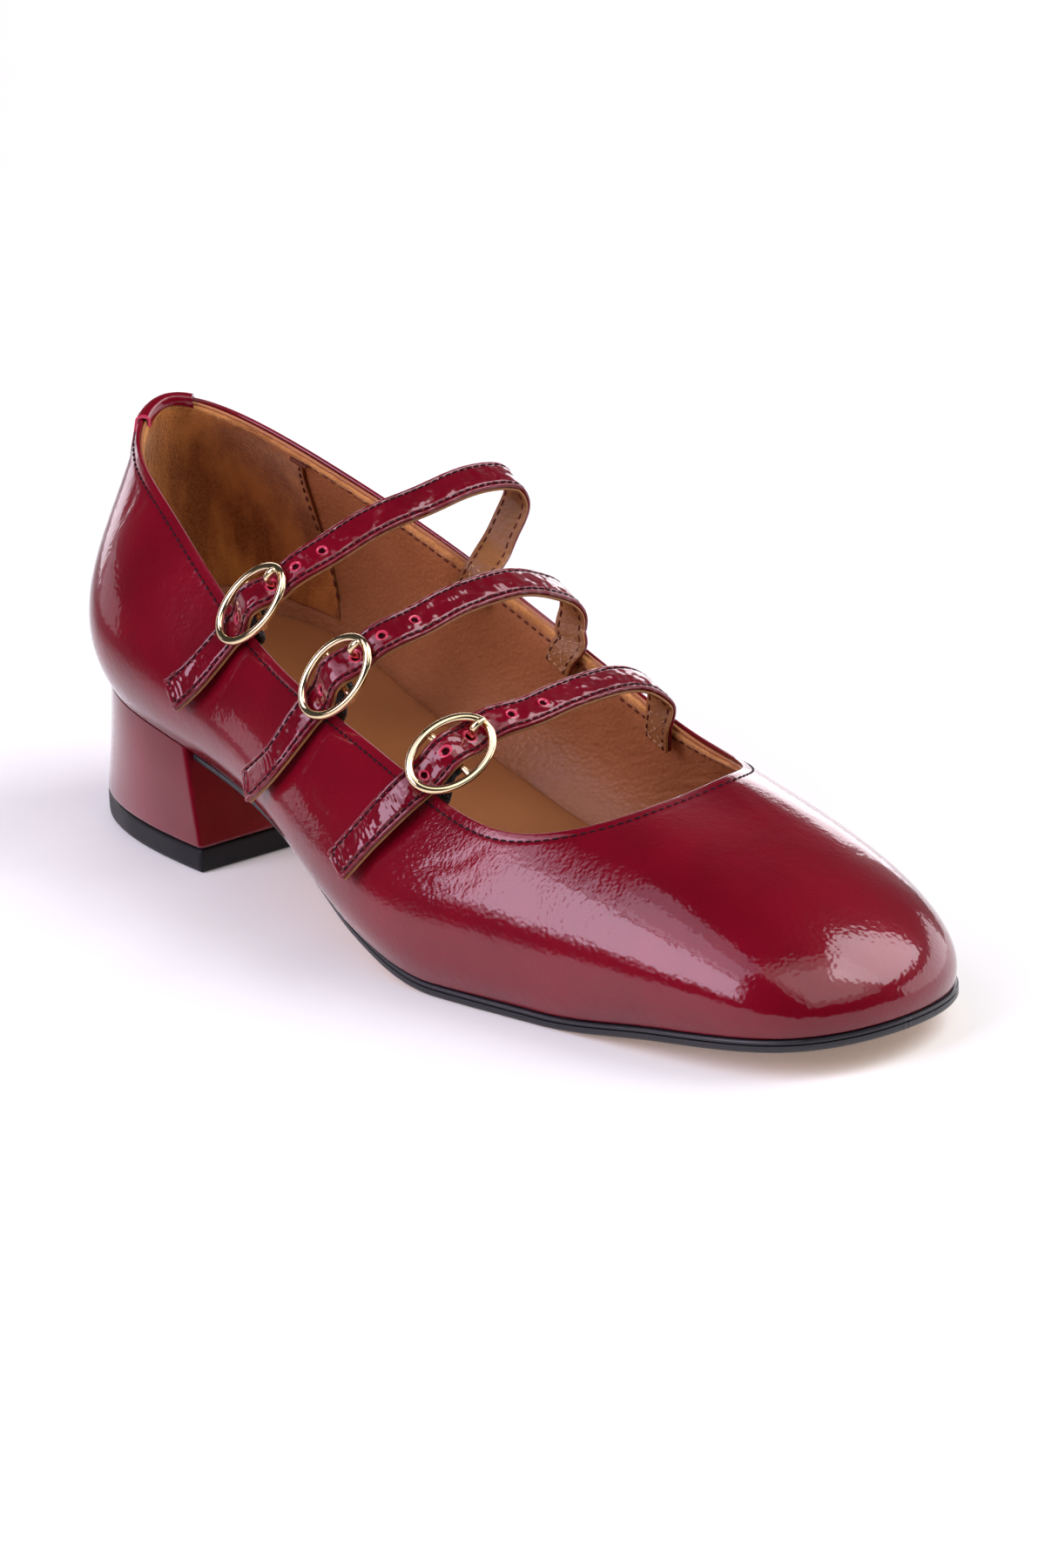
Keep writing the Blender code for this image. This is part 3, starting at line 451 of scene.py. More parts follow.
@dataclass(frozen=True)
class ShoeForm:
    """The outer form of the shoe, from the CAD's own named sizes."""

    length: float = 0.250
    ball_width: float = 0.080
    back_height: float = 0.087
    heel_lift: float = 0.034
    toe_spring: float = 0.0066
    side_swell: float = 0.005
    clearance: float = 0.0003
    wall: float = 0.0018
    insole_thickness: float = 0.0020
    sole_thickness: float = 0.0026
    sole_margin: float = 0.0006
    # Shares of the sizes: feather x and y, collar x, y and z, shoulder, swell. One section a row, from
    # the toe by the outer side to the heel and back.
    sections: tuple[tuple[float, ...], ...] = (
        (0.988, 0.072, 0.742, 0.055, 0.466, 0.64, 0.33),
        (0.967, -0.193, 0.742, -0.113, 0.456, 0.63, 0.37),
        (0.878, -0.338, 0.723, -0.258, 0.432, 0.66, 0.50),
        (0.712, -0.448, 0.673, -0.377, 0.411, 0.70, 0.61),
        (0.571, -0.526, 0.592, -0.402, 0.442, 0.70, 0.70),
        (0.434, -0.473, 0.468, -0.378, 0.517, 0.70, 0.98),
        (0.277, -0.381, 0.314, -0.324, 0.616, 0.71, 1.02),
        (0.134, -0.379, 0.169, -0.249, 0.821, 0.72, 1.05),
        (0.055, -0.208, 0.069, -0.149, 0.927, 0.71, 0.84),
        (0.031, 0.037, 0.032, 0.009, 0.994, 0.70, 0.69),
        (0.055, 0.252, 0.068, 0.169, 0.959, 0.70, 0.94),
        (0.141, 0.356, 0.168, 0.287, 0.845, 0.70, 1.06),
        (0.278, 0.319, 0.312, 0.361, 0.700, 0.70, 1.11),
        (0.434, 0.308, 0.468, 0.404, 0.534, 0.70, 1.31),
        (0.575, 0.421, 0.592, 0.404, 0.435, 0.70, 0.90),
        (0.687, 0.498, 0.673, 0.357, 0.431, 0.70, 0.58),
        (0.821, 0.472, 0.722, 0.263, 0.459, 0.66, 0.46),
        (0.945, 0.346, 0.743, 0.153, 0.478, 0.64, 0.32),
    )
    # Side view of the seat: share of the length, lift of the heel and spring of the toe
    seat_line: tuple[tuple[float, float, float], ...] = (
        (0.00, 1.000, 0.0), (0.12, 0.845, 0.0), (0.26, 0.640, 0.0), (0.40, 0.445, 0.0),
        (0.52, 0.155, 0.0), (0.62, 0.000, 0.0), (0.73, 0.000, 0.0), (0.85, 0.000, 0.5),
        (1.00, 0.000, 1.0),
    )
    # The outsole's edge past the feather line: share of the length, share of the margin
    edge_line: tuple[Spot, ...] = ((0.20, -2.0), (0.45, -2.0), (0.60, 0.3), (0.72, 1.0), (1.00, 1.0))

    @property
    def count(self) -> int:
        """Return the number of sections."""
        return len(self.sections)

    @property
    def back(self) -> float:
        """Return the loop at the middle of the heel."""
        return self.count / 2

    def sizes(self) -> Array:
        """Return the sections in metres, one a row."""
        plan = [self.length, self.ball_width] * 2
        return np.array(self.sections) * np.array(plan + [self.back_height, 1.0, self.side_swell])

    def seat(self, x: Array | float) -> Array:
        """Work out the height of the face on which upper and insole stand.

        Args:
            x: Distances from the plumb line behind the heel.

        Returns:
            Heights, by a curve through the seat line.
        """
        knots = [share * self.length for share, _, _ in self.seat_line]
        rises = [lift * self.heel_lift + spring * self.toe_spring for _, lift, spring in self.seat_line]
        return self.sole_thickness + self.clearance + steady_curve(knots, rises, np.asarray(x, float))

    def feather_normal(self, loop: Array) -> Array:
        """Work out the level outward direction of the feather line.

        Args:
            loop: Places round the shoe.

        Returns:
            Directions as x and y.
        """
        plan = self.sizes()[:, :2]
        tangent = unit(closed_spline(plan, np.asarray(loop, float) + 0.02)
                       - closed_spline(plan, np.asarray(loop, float) - 0.02))
        return np.stack([-tangent[:, 1], tangent[:, 0]], axis=1)

    def feather(self, loop: Array, offset: Array | float = 0.0) -> Array:
        """Return plan points of the feather line, moved outward by an offset."""
        return closed_spline(self.sizes()[:, :2], loop) + self.feather_normal(loop) * offset

    def loops_at(self, x: float) -> tuple[float, float]:
        """Find where the feather line passes x in the heel half, the nearest of 4000 places a side.

        Args:
            x: Distance from the plumb line behind the heel.

        Returns:
            The loop on the outer side and the loop on the inner side.
        """
        found = []
        for start in (self.back / 2, self.count - self.back / 2):
            search = np.linspace(start, self.back, 4000)
            found.append(float(search[np.argmin(np.abs(self.feather(search)[:, 0] - x))]))
        return found[0], found[1]

    def sole_edge(self, loop: Array, inset: float) -> Array:
        """Work out the outsole's edge: the feather line, moved outward by the margin.

        Args:
            loop: Places round the shoe.
            inset: Distance that the edge moves inward.

        Returns:
            Plan points.
        """
        knots = [share * self.length for share, _ in self.edge_line]
        margins = [share * self.sole_margin for _, share in self.edge_line]
        margin = steady_curve(knots, margins, self.feather(loop)[:, 0])
        return self.feather(loop, (margin - inset)[:, None])

    def outer(self, loop: Array | float, climb: Array | float) -> Array:
        """Work out the outer surface of the upper.

        Seen in plan a point moves from the feather line to the collar by one minus the cosine of the
        climb, plus the swell. Its height rises by the sine, up to the shoulder, then by the cosine.

        Args:
            loop: Places round the shoe.
            climb: Shares of the way from sole to collar.

        Returns:
            Points, loops by climbs by 3.
        """
        loop = np.atleast_1d(np.asarray(loop, float))
        climb = np.atleast_1d(np.asarray(climb, float))
        rows = closed_spline(self.sizes(), loop)
        turn = np.sin(climb * math.pi / 2)[None, :, None]
        inward = 1.0 - np.cos(climb * math.pi / 2)[None, :, None]
        swell = (6.75 * climb * (1.0 - climb) ** 2)[None, :, None] * rows[:, None, 6:7]
        low, collar = rows[:, None, :2], rows[:, None, 2:4]
        plan = low + (collar - low) * inward + self.feather_normal(loop)[:, None] * swell
        base = self.seat(rows[:, 0])[:, None, None]
        shoulder = rows[:, None, 5:6]
        rise = rows[:, None, 4:5] - base
        height = base + rise * (shoulder * turn ** (2.0 / 2.2) + (1.0 - shoulder) * inward)
        return np.concatenate([plan, height], axis=2)

    def normal(self, loop: Array | float, climb: Array | float) -> Array:
        """Work out the outward directions, from short steps to each side. They are level at the sole.

        Args:
            loop: Places round the shoe.
            climb: Shares of the way from sole to collar.

        Returns:
            Directions, loops by climbs by 3.
        """
        loop = np.atleast_1d(np.asarray(loop, float))
        climb = np.atleast_1d(np.asarray(climb, float))
        step = 0.01
        round_it = self.outer(loop + step, climb) - self.outer(loop - step, climb)
        above, below = np.minimum(climb + step, 1.0), np.maximum(climb - step, 0.0)
        up_it = self.outer(loop, above) - self.outer(loop, below)
        level = np.concatenate([self.feather_normal(loop), np.zeros((len(loop), 1))], axis=1)
        return np.where((climb < 1e-6)[None, :, None], level[:, None], unit(np.cross(up_it, round_it)))

    def ahead(self, loop: float, climb: float, step: float = 0.05) -> Array:
        """Return the direction along the surface to lower loops, from a step to each side."""
        return unit(self.outer(loop - step, climb)[0, 0] - self.outer(loop + step, climb)[0, 0])

    def place(self, loop: float, climb: float, depth: float) -> Array:
        """Return one point at a depth under the outer surface."""
        return (self.outer(loop, climb) - self.normal(loop, climb) * depth)[0, 0]

    def below_collar(self, loop: Array, distance: Array | float) -> tuple[Array, Array]:
        """Find the line at a distance below the collar.

        Args:
            loop: Places round the shoe.
            distance: Distance down the surface, one for all or one a loop.

        Returns:
            The line's points and its outward directions. The climb is read from the distances summed
            down the surface from the collar.
        """
        climb = np.linspace(1.0, 0.0, 180)
        points, normals = self.outer(loop, climb), self.normal(loop, climb)
        down = np.cumsum(np.linalg.norm(np.diff(points, axis=1), axis=2), axis=1)
        down = np.concatenate([np.zeros((len(down), 1)), down], axis=1)
        wanted = np.broadcast_to(distance, len(down))[:, None]
        column = np.clip((down < wanted).sum(1), 1, len(climb) - 1)
        row = np.arange(len(down))
        low, high = down[row, column - 1], down[row, column]
        part = np.clip((wanted[:, 0] - low) / (high - low), 0.0, 1.0)[:, None]
        line = points[row, column - 1] * (1 - part) + points[row, column] * part
        return line, unit(normals[row, column - 1] * (1 - part) + normals[row, column] * part)


# ---------------- finishes


class NodeBench:
    """Adds nodes to one material and joins them."""

    def __init__(self, name: str) -> None:
        """Start a material with its shader."""
        self.material = bpy.data.materials.new(name)
        self.material.use_nodes = True
        self.tree = self.material.node_tree
        self.shader = self.tree.nodes["Principled BSDF"]

    def add(self, kind: str, inputs: dict, output: str | int = 0, **settings: object) -> Socket:
        """Add a node.

        Args:
            kind: Short type, such as TexNoise.
            inputs: Values or sockets by input name or number.
            output: The output that is handed back.
            **settings: The node's own settings.

        Returns:
            One of the node's outputs.
        """
        node = self.tree.nodes.new("ShaderNode" + kind)
        for name, value in settings.items():
            setattr(node, name, value)
        for name, value in inputs.items():
            self.feed(node.inputs[name], value)
        return node.outputs[output]

    def feed(self, socket: Socket, value: object) -> None:
        """Link a socket, or set its value."""
        if isinstance(value, Socket):
            self.tree.links.new(value, socket)
        else:
            socket.default_value = value

    def place(self, scale: Colour = (1.0, 1.0, 1.0), turn: Colour = (0.0, 0.0, 0.0)) -> Socket:
        """Return object coordinates, turned by degrees and scaled."""
        where = self.add("TexCoord", {}, "Object")
        turned = self.add("Mapping", {"Vector": where, "Rotation": tuple(math.radians(t) for t in turn)})
        return self.add("Mapping", {"Vector": turned, "Scale": scale})

    def noise(self, scale: float, where: Socket, detail: float = 2.0) -> Socket:
        """Return a noise of about one feature a unit divided by the scale."""
        return self.add("TexNoise", {"Vector": where, "Scale": scale, "Detail": detail})

    def steps(self, value: Socket, low: float, high: float, out_low: float = 0.0,
              out_high: float = 1.0) -> Socket:
        """Return a value mapped from one range to another, and held to it."""
        return self.add("MapRange", {"Value": value, "From Min": low, "From Max": high,
                                     "To Min": out_low, "To Max": out_high})

    def mix(self, share: Socket, first: object, second: object) -> Socket:
        """Return two colours mixed by a share."""
        return self.add("Mix", {0: share, 6: first, 7: second}, 2, data_type="RGBA")

    def maths(self, kind: str, first: object, second: object = 0.0) -> Socket:
        """Return a sum, product or other function of one or two values."""
        return self.add("Math", {0: first, 1: second}, operation=kind)

    def bump(self, height: Socket, distance: float, strength: float = 1.0,
             normal: Socket | None = None) -> Socket:
        """Return the normal that a height gives, over another normal where one is given."""
        under = {} if normal is None else {"Normal": normal}
        return self.add("Bump", {"Height": height, "Distance": distance, "Strength": strength, **under})

    def mark(self, name: str, output: str = "Fac") -> Socket:
        """Return a named value of the mesh."""
        return self.add("Attribute", {}, output, attribute_name=name)

    def shade(self, inputs: dict) -> bpy.types.Material:
        """Set the shader's inputs and hand back the material."""
        for name, value in inputs.items():
            self.feed(self.shader.inputs[name], value)
        return self.material


def rgba(colour: Colour) -> tuple[float, float, float, float]:
    """Return a colour with full alpha."""
    return (*colour, 1.0)


class Cut(Enum):
    """What a patent piece shows besides its face."""

    NONE = 0
    FOLDED = 1
    RAW_END = 2
    PUNCHED = 3


@dataclass(frozen=True)
class PatentFinish:
    """Burgundy patent leather under a clear coat, crinkled in three sizes.

    Attributes:
        colour: Main colour.
        deep: Colour where the dye pools.
        swell: Height of the slow waves.
        crinkle: Height of the coarse crinkle.
        pebble: Height of the fine one.
        folds: Height of the fine folds, where the mark named fold is not 0.
        raw: Colour of cut edges, where the mark named raw is 1, and of the rims of punched holes.
        hole: Radius of a punched hole, where the mark named hole is the distance to its middle.
        rim: Radii at which the raw rim of a hole starts, and is full.
        hole_shade: Radii at which the painted shade inside a hole starts, and is full.
        hole_shade_colour: Colour of the painted shade inside a hole.
        cut: Which of the marks the piece has.
    """

    colour: Colour = (0.168, 0.0006, 0.0100)
    deep: Colour = (0.124, 0.0004, 0.0072)
    swell: float = 0.00030
    crinkle: float = 0.00006
    pebble: float = 0.000034
    folds: float = 0.00009
    raw: Colour = (0.55, 0.035, 0.085)
    hole: float = 0.00078
    rim: Spot = (1.62, 1.45)
    hole_shade: Spot = (1.02, 0.88)
    hole_shade_colour: Colour = (0.012, 0.002, 0.003)
    cut: Cut = Cut.NONE

    def make(self, name: str) -> bpy.types.Material:
        """Make the material. Noises of 16, 3.5 and 0.9 mm raise the coat and the leather under it.

        Args:
            name: The material's name.

        Returns:
            The material.
        """
        bench = NodeBench(name)
        where = bench.place()
        patches = bench.steps(bench.noise(45.0, where, 3.0), 0.35, 0.65)
        colour = bench.mix(patches, rgba(self.deep), rgba(self.colour))
        if self.cut in (Cut.RAW_END, Cut.PUNCHED):
            colour = bench.mix(bench.mark("raw"), colour, rgba(self.raw))
        gloss = 1.0
        if self.cut is Cut.PUNCHED:
            distance = bench.mark("hole")
            rim = bench.steps(distance, *(self.hole * radius for radius in self.rim))
            # Painted shade: the middle of each punched hole is coloured dark for the shadow inside it
            hole_shade = bench.steps(distance, *(self.hole * radius for radius in self.hole_shade))
            colour = bench.mix(rim, colour, rgba(self.raw))
            colour = bench.mix(hole_shade, colour, rgba(self.hole_shade_colour))
            gloss = bench.steps(hole_shade, 0.0, 1.0, 1.0, 0.0)
        normal = bench.bump(bench.noise(60.0, where, 0.0), self.swell)
        normal = bench.bump(bench.noise(280.0, where, 1.0), self.crinkle, 1.0, normal)
        normal = bench.bump(bench.noise(1100.0, where, 0.0), self.pebble, 1.0, normal)
        if self.cut is Cut.FOLDED:
            weight = bench.mark("fold", "Vector")
            for axis, lean in (("X", 16.0), ("Y", 64.0)):
                ridges = bench.noise(1600.0, bench.place((0.20, 1.0, 1.0), (0.0, lean, 0.0)), 2.0)
                share = bench.add("SeparateXYZ", {0: weight}, axis)
                normal = bench.bump(bench.maths("MULTIPLY", ridges, share), self.folds, 1.0, normal)
        return bench.shade({
            "Base Color": colour, "Roughness": 0.34, "Specular IOR Level": 0.20,
            "Specular Tint": (0.90, 0.015, 0.060, 1.0), "Normal": normal,
            "Coat Weight": gloss, "Coat Roughness": 0.10, "Coat IOR": 1.5, "Coat Normal": normal,
        })


@dataclass(frozen=True)
class LiningFinish:
    """Smooth tan lining leather with a fine grain.

    Attributes:
        colour: Main colour.
        deep: Colour of rubbed and shaded patches.
        lines: Half the height of the folds, and twice that of the grain.
        folded: Whether the piece has folds, where the mark named fold is not 0.
    """

    colour: Colour = (0.440, 0.172, 0.066)
    deep: Colour = (0.320, 0.114, 0.039)
    lines: float = 0.00032
    folded: bool = False

    def make(self, name: str) -> bpy.types.Material:
        """Make the material: cells of 1 mm, and lines drawn out along the shoe where it is folded.

        Args:
            name: The material's name.

        Returns:
            The material.
        """
        bench = NodeBench(name)
        where = bench.place()
        cells = bench.add("TexVoronoi", {"Vector": bench.place((0.75, 1.0, 1.0), (0.0, 20.0, 0.0)),
                                         "Scale": 1050.0, "Randomness": 1.0})
        patches = bench.steps(bench.noise(38.0, where, 4.0), 0.3, 0.7)
        colour = bench.mix(patches, rgba(self.deep), rgba(self.colour))
        colour = bench.mix(bench.steps(cells, 0.35, 0.85, 0.0, 0.30), colour, rgba(self.deep))
        normal = bench.bump(cells, -self.lines * 0.5)
        normal = bench.bump(bench.noise(300.0, where, 3.0), 0.00015, 1.0, normal)
        if self.folded:
            drawn = bench.noise(620.0, bench.place((0.22, 1.0, 1.0), (0.0, 24.0, 0.0)), 2.0)
            share = bench.add("SeparateXYZ", {0: bench.mark("fold", "Vector")}, "X")
            normal = bench.bump(bench.maths("MULTIPLY", drawn, share), self.lines * 2.0, 1.0, normal)
        return bench.shade({"Base Color": colour, "Specular IOR Level": 0.42, "Normal": normal,
                            "Roughness": bench.steps(patches, 0.0, 1.0, 0.40, 0.50)})


@dataclass(frozen=True)
class SuedeFinish:
    """Napped leather or a raw leather edge.

    Attributes:
        colour: Colour of the nap that stands up.
        deep: Colour of the nap that lies down.
        nap: Height of the nap.
    """

    colour: Colour = (0.480, 0.170, 0.038)
    deep: Colour = (0.190, 0.052, 0.009)
    nap: float = 0.0009

    def make(self, name: str) -> bpy.types.Material:
        """Make the material. A noise of 8 mm and the nap's own, of 0.6 mm, mottle the colour.

        Args:
            name: The material's name.

        Returns:
            The material.
        """
        bench = NodeBench(name)
        where = bench.place()
        brushed = bench.noise(130.0, bench.place(scale=(1.0, 1.0, 0.35)), 6.0)
        nap = bench.noise(1700.0, where, 4.0)
        colour = bench.mix(bench.steps(brushed, 0.40, 0.60), rgba(self.deep), rgba(self.colour))
        colour = bench.mix(bench.steps(nap, 0.35, 0.7, 0.0, 0.45), colour, rgba(self.colour))
        return bench.shade({"Base Color": colour, "Roughness": 0.95, "Specular IOR Level": 0.15,
                            "Sheen Weight": 0.40, "Sheen Roughness": 0.5,
                            "Sheen Tint": (1.0, 0.75, 0.5, 1.0),
                            "Normal": bench.bump(nap, self.nap, 0.5)})


@dataclass(frozen=True)
class SoleFinish:
    """Leather outsole: tan underneath, and a black waxed edge where the mark named edge is 1."""

    under: Colour = (0.600, 0.300, 0.120)
    scuffed: Colour = (0.46, 0.22, 0.085)
    edge: Colour = (0.012, 0.012, 0.015)

    def make(self, name: str) -> bpy.types.Material:
        """Make the material, with scuffs of 8 mm underneath and fibres of 0.5 mm.

        Args:
            name: The material's name.

        Returns:
            The material.
        """
        bench = NodeBench(name)
        scuffs = bench.noise(120.0, bench.place(scale=(0.35, 1.0, 1.0)), 4.0)
        fibres = bench.noise(2000.0, bench.place(), 3.0)
        edge = bench.mark("edge")
        tan = bench.mix(bench.steps(scuffs, 0.3, 0.7), rgba(self.scuffed), rgba(self.under))
        return bench.shade({"Base Color": bench.mix(edge, tan, rgba(self.edge)),
                            "Roughness": bench.steps(edge, 0.0, 1.0, 0.6, 0.34),
                            "Normal": bench.bump(fibres, 0.00012, 0.5)})


@dataclass(frozen=True)
class RubberFinish:
    """Black rubber with a satin moulded face."""

    colour: Colour = (0.008, 0.008, 0.010)

    def make(self, name: str) -> bpy.types.Material:
        """Make the material, with a fine grain of 0.3 mm.

        Args:
            name: The material's name.

        Returns:
            The material.
        """
        bench = NodeBench(name)
        grain = bench.noise(3200.0, bench.place(), 2.0)
        dust = bench.steps(bench.noise(90.0, bench.place(), 3.0), 0.4, 0.7, 0.40, 0.52)
        return bench.shade({"Base Color": rgba(self.colour), "Roughness": dust,
                            "Specular IOR Level": 0.22, "Normal": bench.bump(grain, 0.00003, 0.4)})


@dataclass(frozen=True)
class GoldFinish:
    """Polished pale gold plating."""

    colour: Colour = (0.900, 0.720, 0.440)

    def make(self, name: str) -> bpy.types.Material:
        """Make the material. A faint noise of 6 mm dulls the polish in places.

        Args:
            name: The material's name.

        Returns:
            The material.
        """
        bench = NodeBench(name)
        dull = bench.steps(bench.noise(160.0, bench.place(), 3.0), 0.35, 0.7, 0.06, 0.10)
        return bench.shade({"Base Color": rgba(self.colour), "Metallic": 1.0, "Roughness": dull})


@dataclass(frozen=True)
class ElasticFinish:
    """Black knitted elastic, read from the mark named run: metres along and across the band."""

    deep: Colour = (0.004, 0.004, 0.005)
    ridge_light: Colour = (0.022, 0.022, 0.025)
    loop: float = 0.0006
    rib: float = 0.0009

    def make(self, name: str) -> bpy.types.Material:
        """Make the material: ribs along the band, and loops along them, as two sines added.

        Args:
            name: The material's name.

        Returns:
            The material.
        """
        bench = NodeBench(name)
        run = bench.mark("run", "Vector")
        waves = []
        for axis, period, share in (("X", self.loop, 0.35), ("Y", self.rib, 0.5)):
            place = bench.add("SeparateXYZ", {0: run}, axis)
            wave = bench.maths("SINE", bench.maths("MULTIPLY", place, 2.0 * math.pi / period))
            waves.append(bench.maths("MULTIPLY", wave, share))
        weave = bench.maths("ADD", *waves)
        # Painted shade and light: the weave's hollows are coloured darker and its ridges lighter
        shade = bench.mix(bench.steps(weave, -0.8, 0.8), rgba(self.deep), rgba(self.ridge_light))
        return bench.shade({"Base Color": shade, "Roughness": 0.8, "Sheen Weight": 0.3,
                            "Sheen Roughness": 0.4, "Normal": bench.bump(weave, 0.00025, 0.8)})


@dataclass(frozen=True)
class ThreadFinish:
    """Twisted sewing thread."""

    colour: Colour = (0.016, 0.002, 0.006)

    def make(self, name: str) -> bpy.types.Material:
        """Make the material, with a fine noise for the twist.

        Args:
            name: The material's name.

        Returns:
            The material.
        """
        bench = NodeBench(name)
        twist = bench.noise(5200.0, bench.place(), 2.0)
        darker = rgba(tuple(0.55 * value for value in self.colour))
        colour = bench.mix(bench.steps(twist, 0.35, 0.65), darker, rgba(self.colour))
        return bench.shade({"Base Color": colour, "Roughness": 0.7, "Specular IOR Level": 0.2,
                            "Normal": bench.bump(twist, 0.00008, 0.6)})


class Material(Enum):
    """The named finishes, each with the slot of the record that it belongs to."""

    PATENT = ("patent_leather", PatentFinish(cut=Cut.FOLDED))
    # Painted shade: the straps' patent is a darker copy of the upper's colour, for faces that catch less
    # light
    SHADED_STRAP_PATENT = ("patent_leather", PatentFinish((0.150, 0.0005, 0.0095), (0.112, 0.0004, 0.0070),
                                                   swell=0.0013, crinkle=0.00080, pebble=0.00003,
                                                   cut=Cut.PUNCHED))
    TAB_PATENT = ("patent_leather", PatentFinish(cut=Cut.RAW_END))
    HEEL_PATENT = ("patent_leather", PatentFinish(swell=0.0001, crinkle=0.00003, pebble=0.000012))
    LINING = ("lining_leather", LiningFinish(folded=True))
    SOCK = ("lining_leather", LiningFinish(colour=(0.380, 0.150, 0.052), deep=(0.330, 0.124, 0.041),
                                           lines=0.00004))
    SUEDE = ("lining_leather", SuedeFinish())
    RAW_EDGE = ("lining_leather", SuedeFinish(colour=(0.600, 0.270, 0.085), deep=(0.360, 0.135, 0.035)))
    STRAP_BACK = ("lining_leather", LiningFinish(colour=(0.36, 0.15, 0.05), deep=(0.26, 0.10, 0.03)))
    SOLE = ("sole_leather", SoleFinish())
    RUBBER = ("black_rubber", RubberFinish())
    GOLD = ("gold_metal", GoldFinish())
    ELASTIC = ("black_elastic", ElasticFinish())
    DARK_THREAD = ("patent_leather", ThreadFinish())
    TAN_THREAD = ("lining_leather", ThreadFinish(colour=(0.66, 0.36, 0.20)))
    BROWN_THREAD = ("lining_leather", ThreadFinish(colour=(0.150, 0.036, 0.018)))


@dataclass
class Workshop:
    """Turns sheets into finished pieces in the frame of the CAD.

    Attributes:
        shift: The move from the plumb line behind the heel to the CAD's origin.
        made: Materials already made, by name.
    """

    shift: Array
    made: dict = field(default_factory=dict)

    @classmethod
    def over(cls, heel: "Heel") -> "Workshop":
        """Read the shift from where the CAD's top piece lies."""
        low = np.array(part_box("top_piece")[0])
        return cls(np.array([low[0] - heel.foot_back, low[1] + heel.foot_outer, 0.0]))

    def finish(self, choice: Material) -> bpy.types.Material:
        """Return the material of a finish, made once."""
        if choice not in self.made:
            self.made[choice] = choice.value[1].make(choice.name.lower())
        return self.made[choice]

    def piece(self, name: str, sheet: Sheet, choice: Material, replaces: Sequence[str] = (),
              sharp: float = 50.0) -> bpy.types.Object:
        """Make one piece.

        Args:
            name: The object's name.
            sheet: Its points and faces.
            choice: Its finish.
            replaces: CAD nodes that it stands for.
            sharp: Degrees past which an edge stays sharp.

        Returns:
            The object, at the origin, with its faces outward.
        """
        mesh = bpy.data.meshes.new(name)
        mesh.from_pydata((sheet.points + self.shift).tolist(), [], sheet.faces)
        for mark, values in sheet.marks.items():
            wide = values.shape[1] == 3
            store = mesh.attributes.new(mark, "FLOAT_VECTOR" if wide else "FLOAT", "POINT")
            store.data.foreach_set("vector" if wide else "value", values.astype(np.float32).ravel())
        work = bmesh.new()
        work.from_mesh(mesh)
        bmesh.ops.remove_doubles(work, verts=work.verts, dist=2e-6)
        bmesh.ops.dissolve_degenerate(work, edges=work.edges, dist=1e-7)
        bmesh.ops.recalc_face_normals(work, faces=work.faces)
        work.to_mesh(mesh)
        work.free()
        mesh.shade_smooth()
        mesh.set_sharp_from_angle(angle=math.radians(sharp))
        mesh.materials.append(self.finish(choice))
        made = bpy.data.objects.new(name, mesh)
        bpy.context.scene.collection.objects.link(made)
        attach(made, "root")
        if replaces:
            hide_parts(*replaces)
        LOG.info("%s: %d faces", name, len(mesh.polygons))
        return made


# ---------------- the shoe's pieces


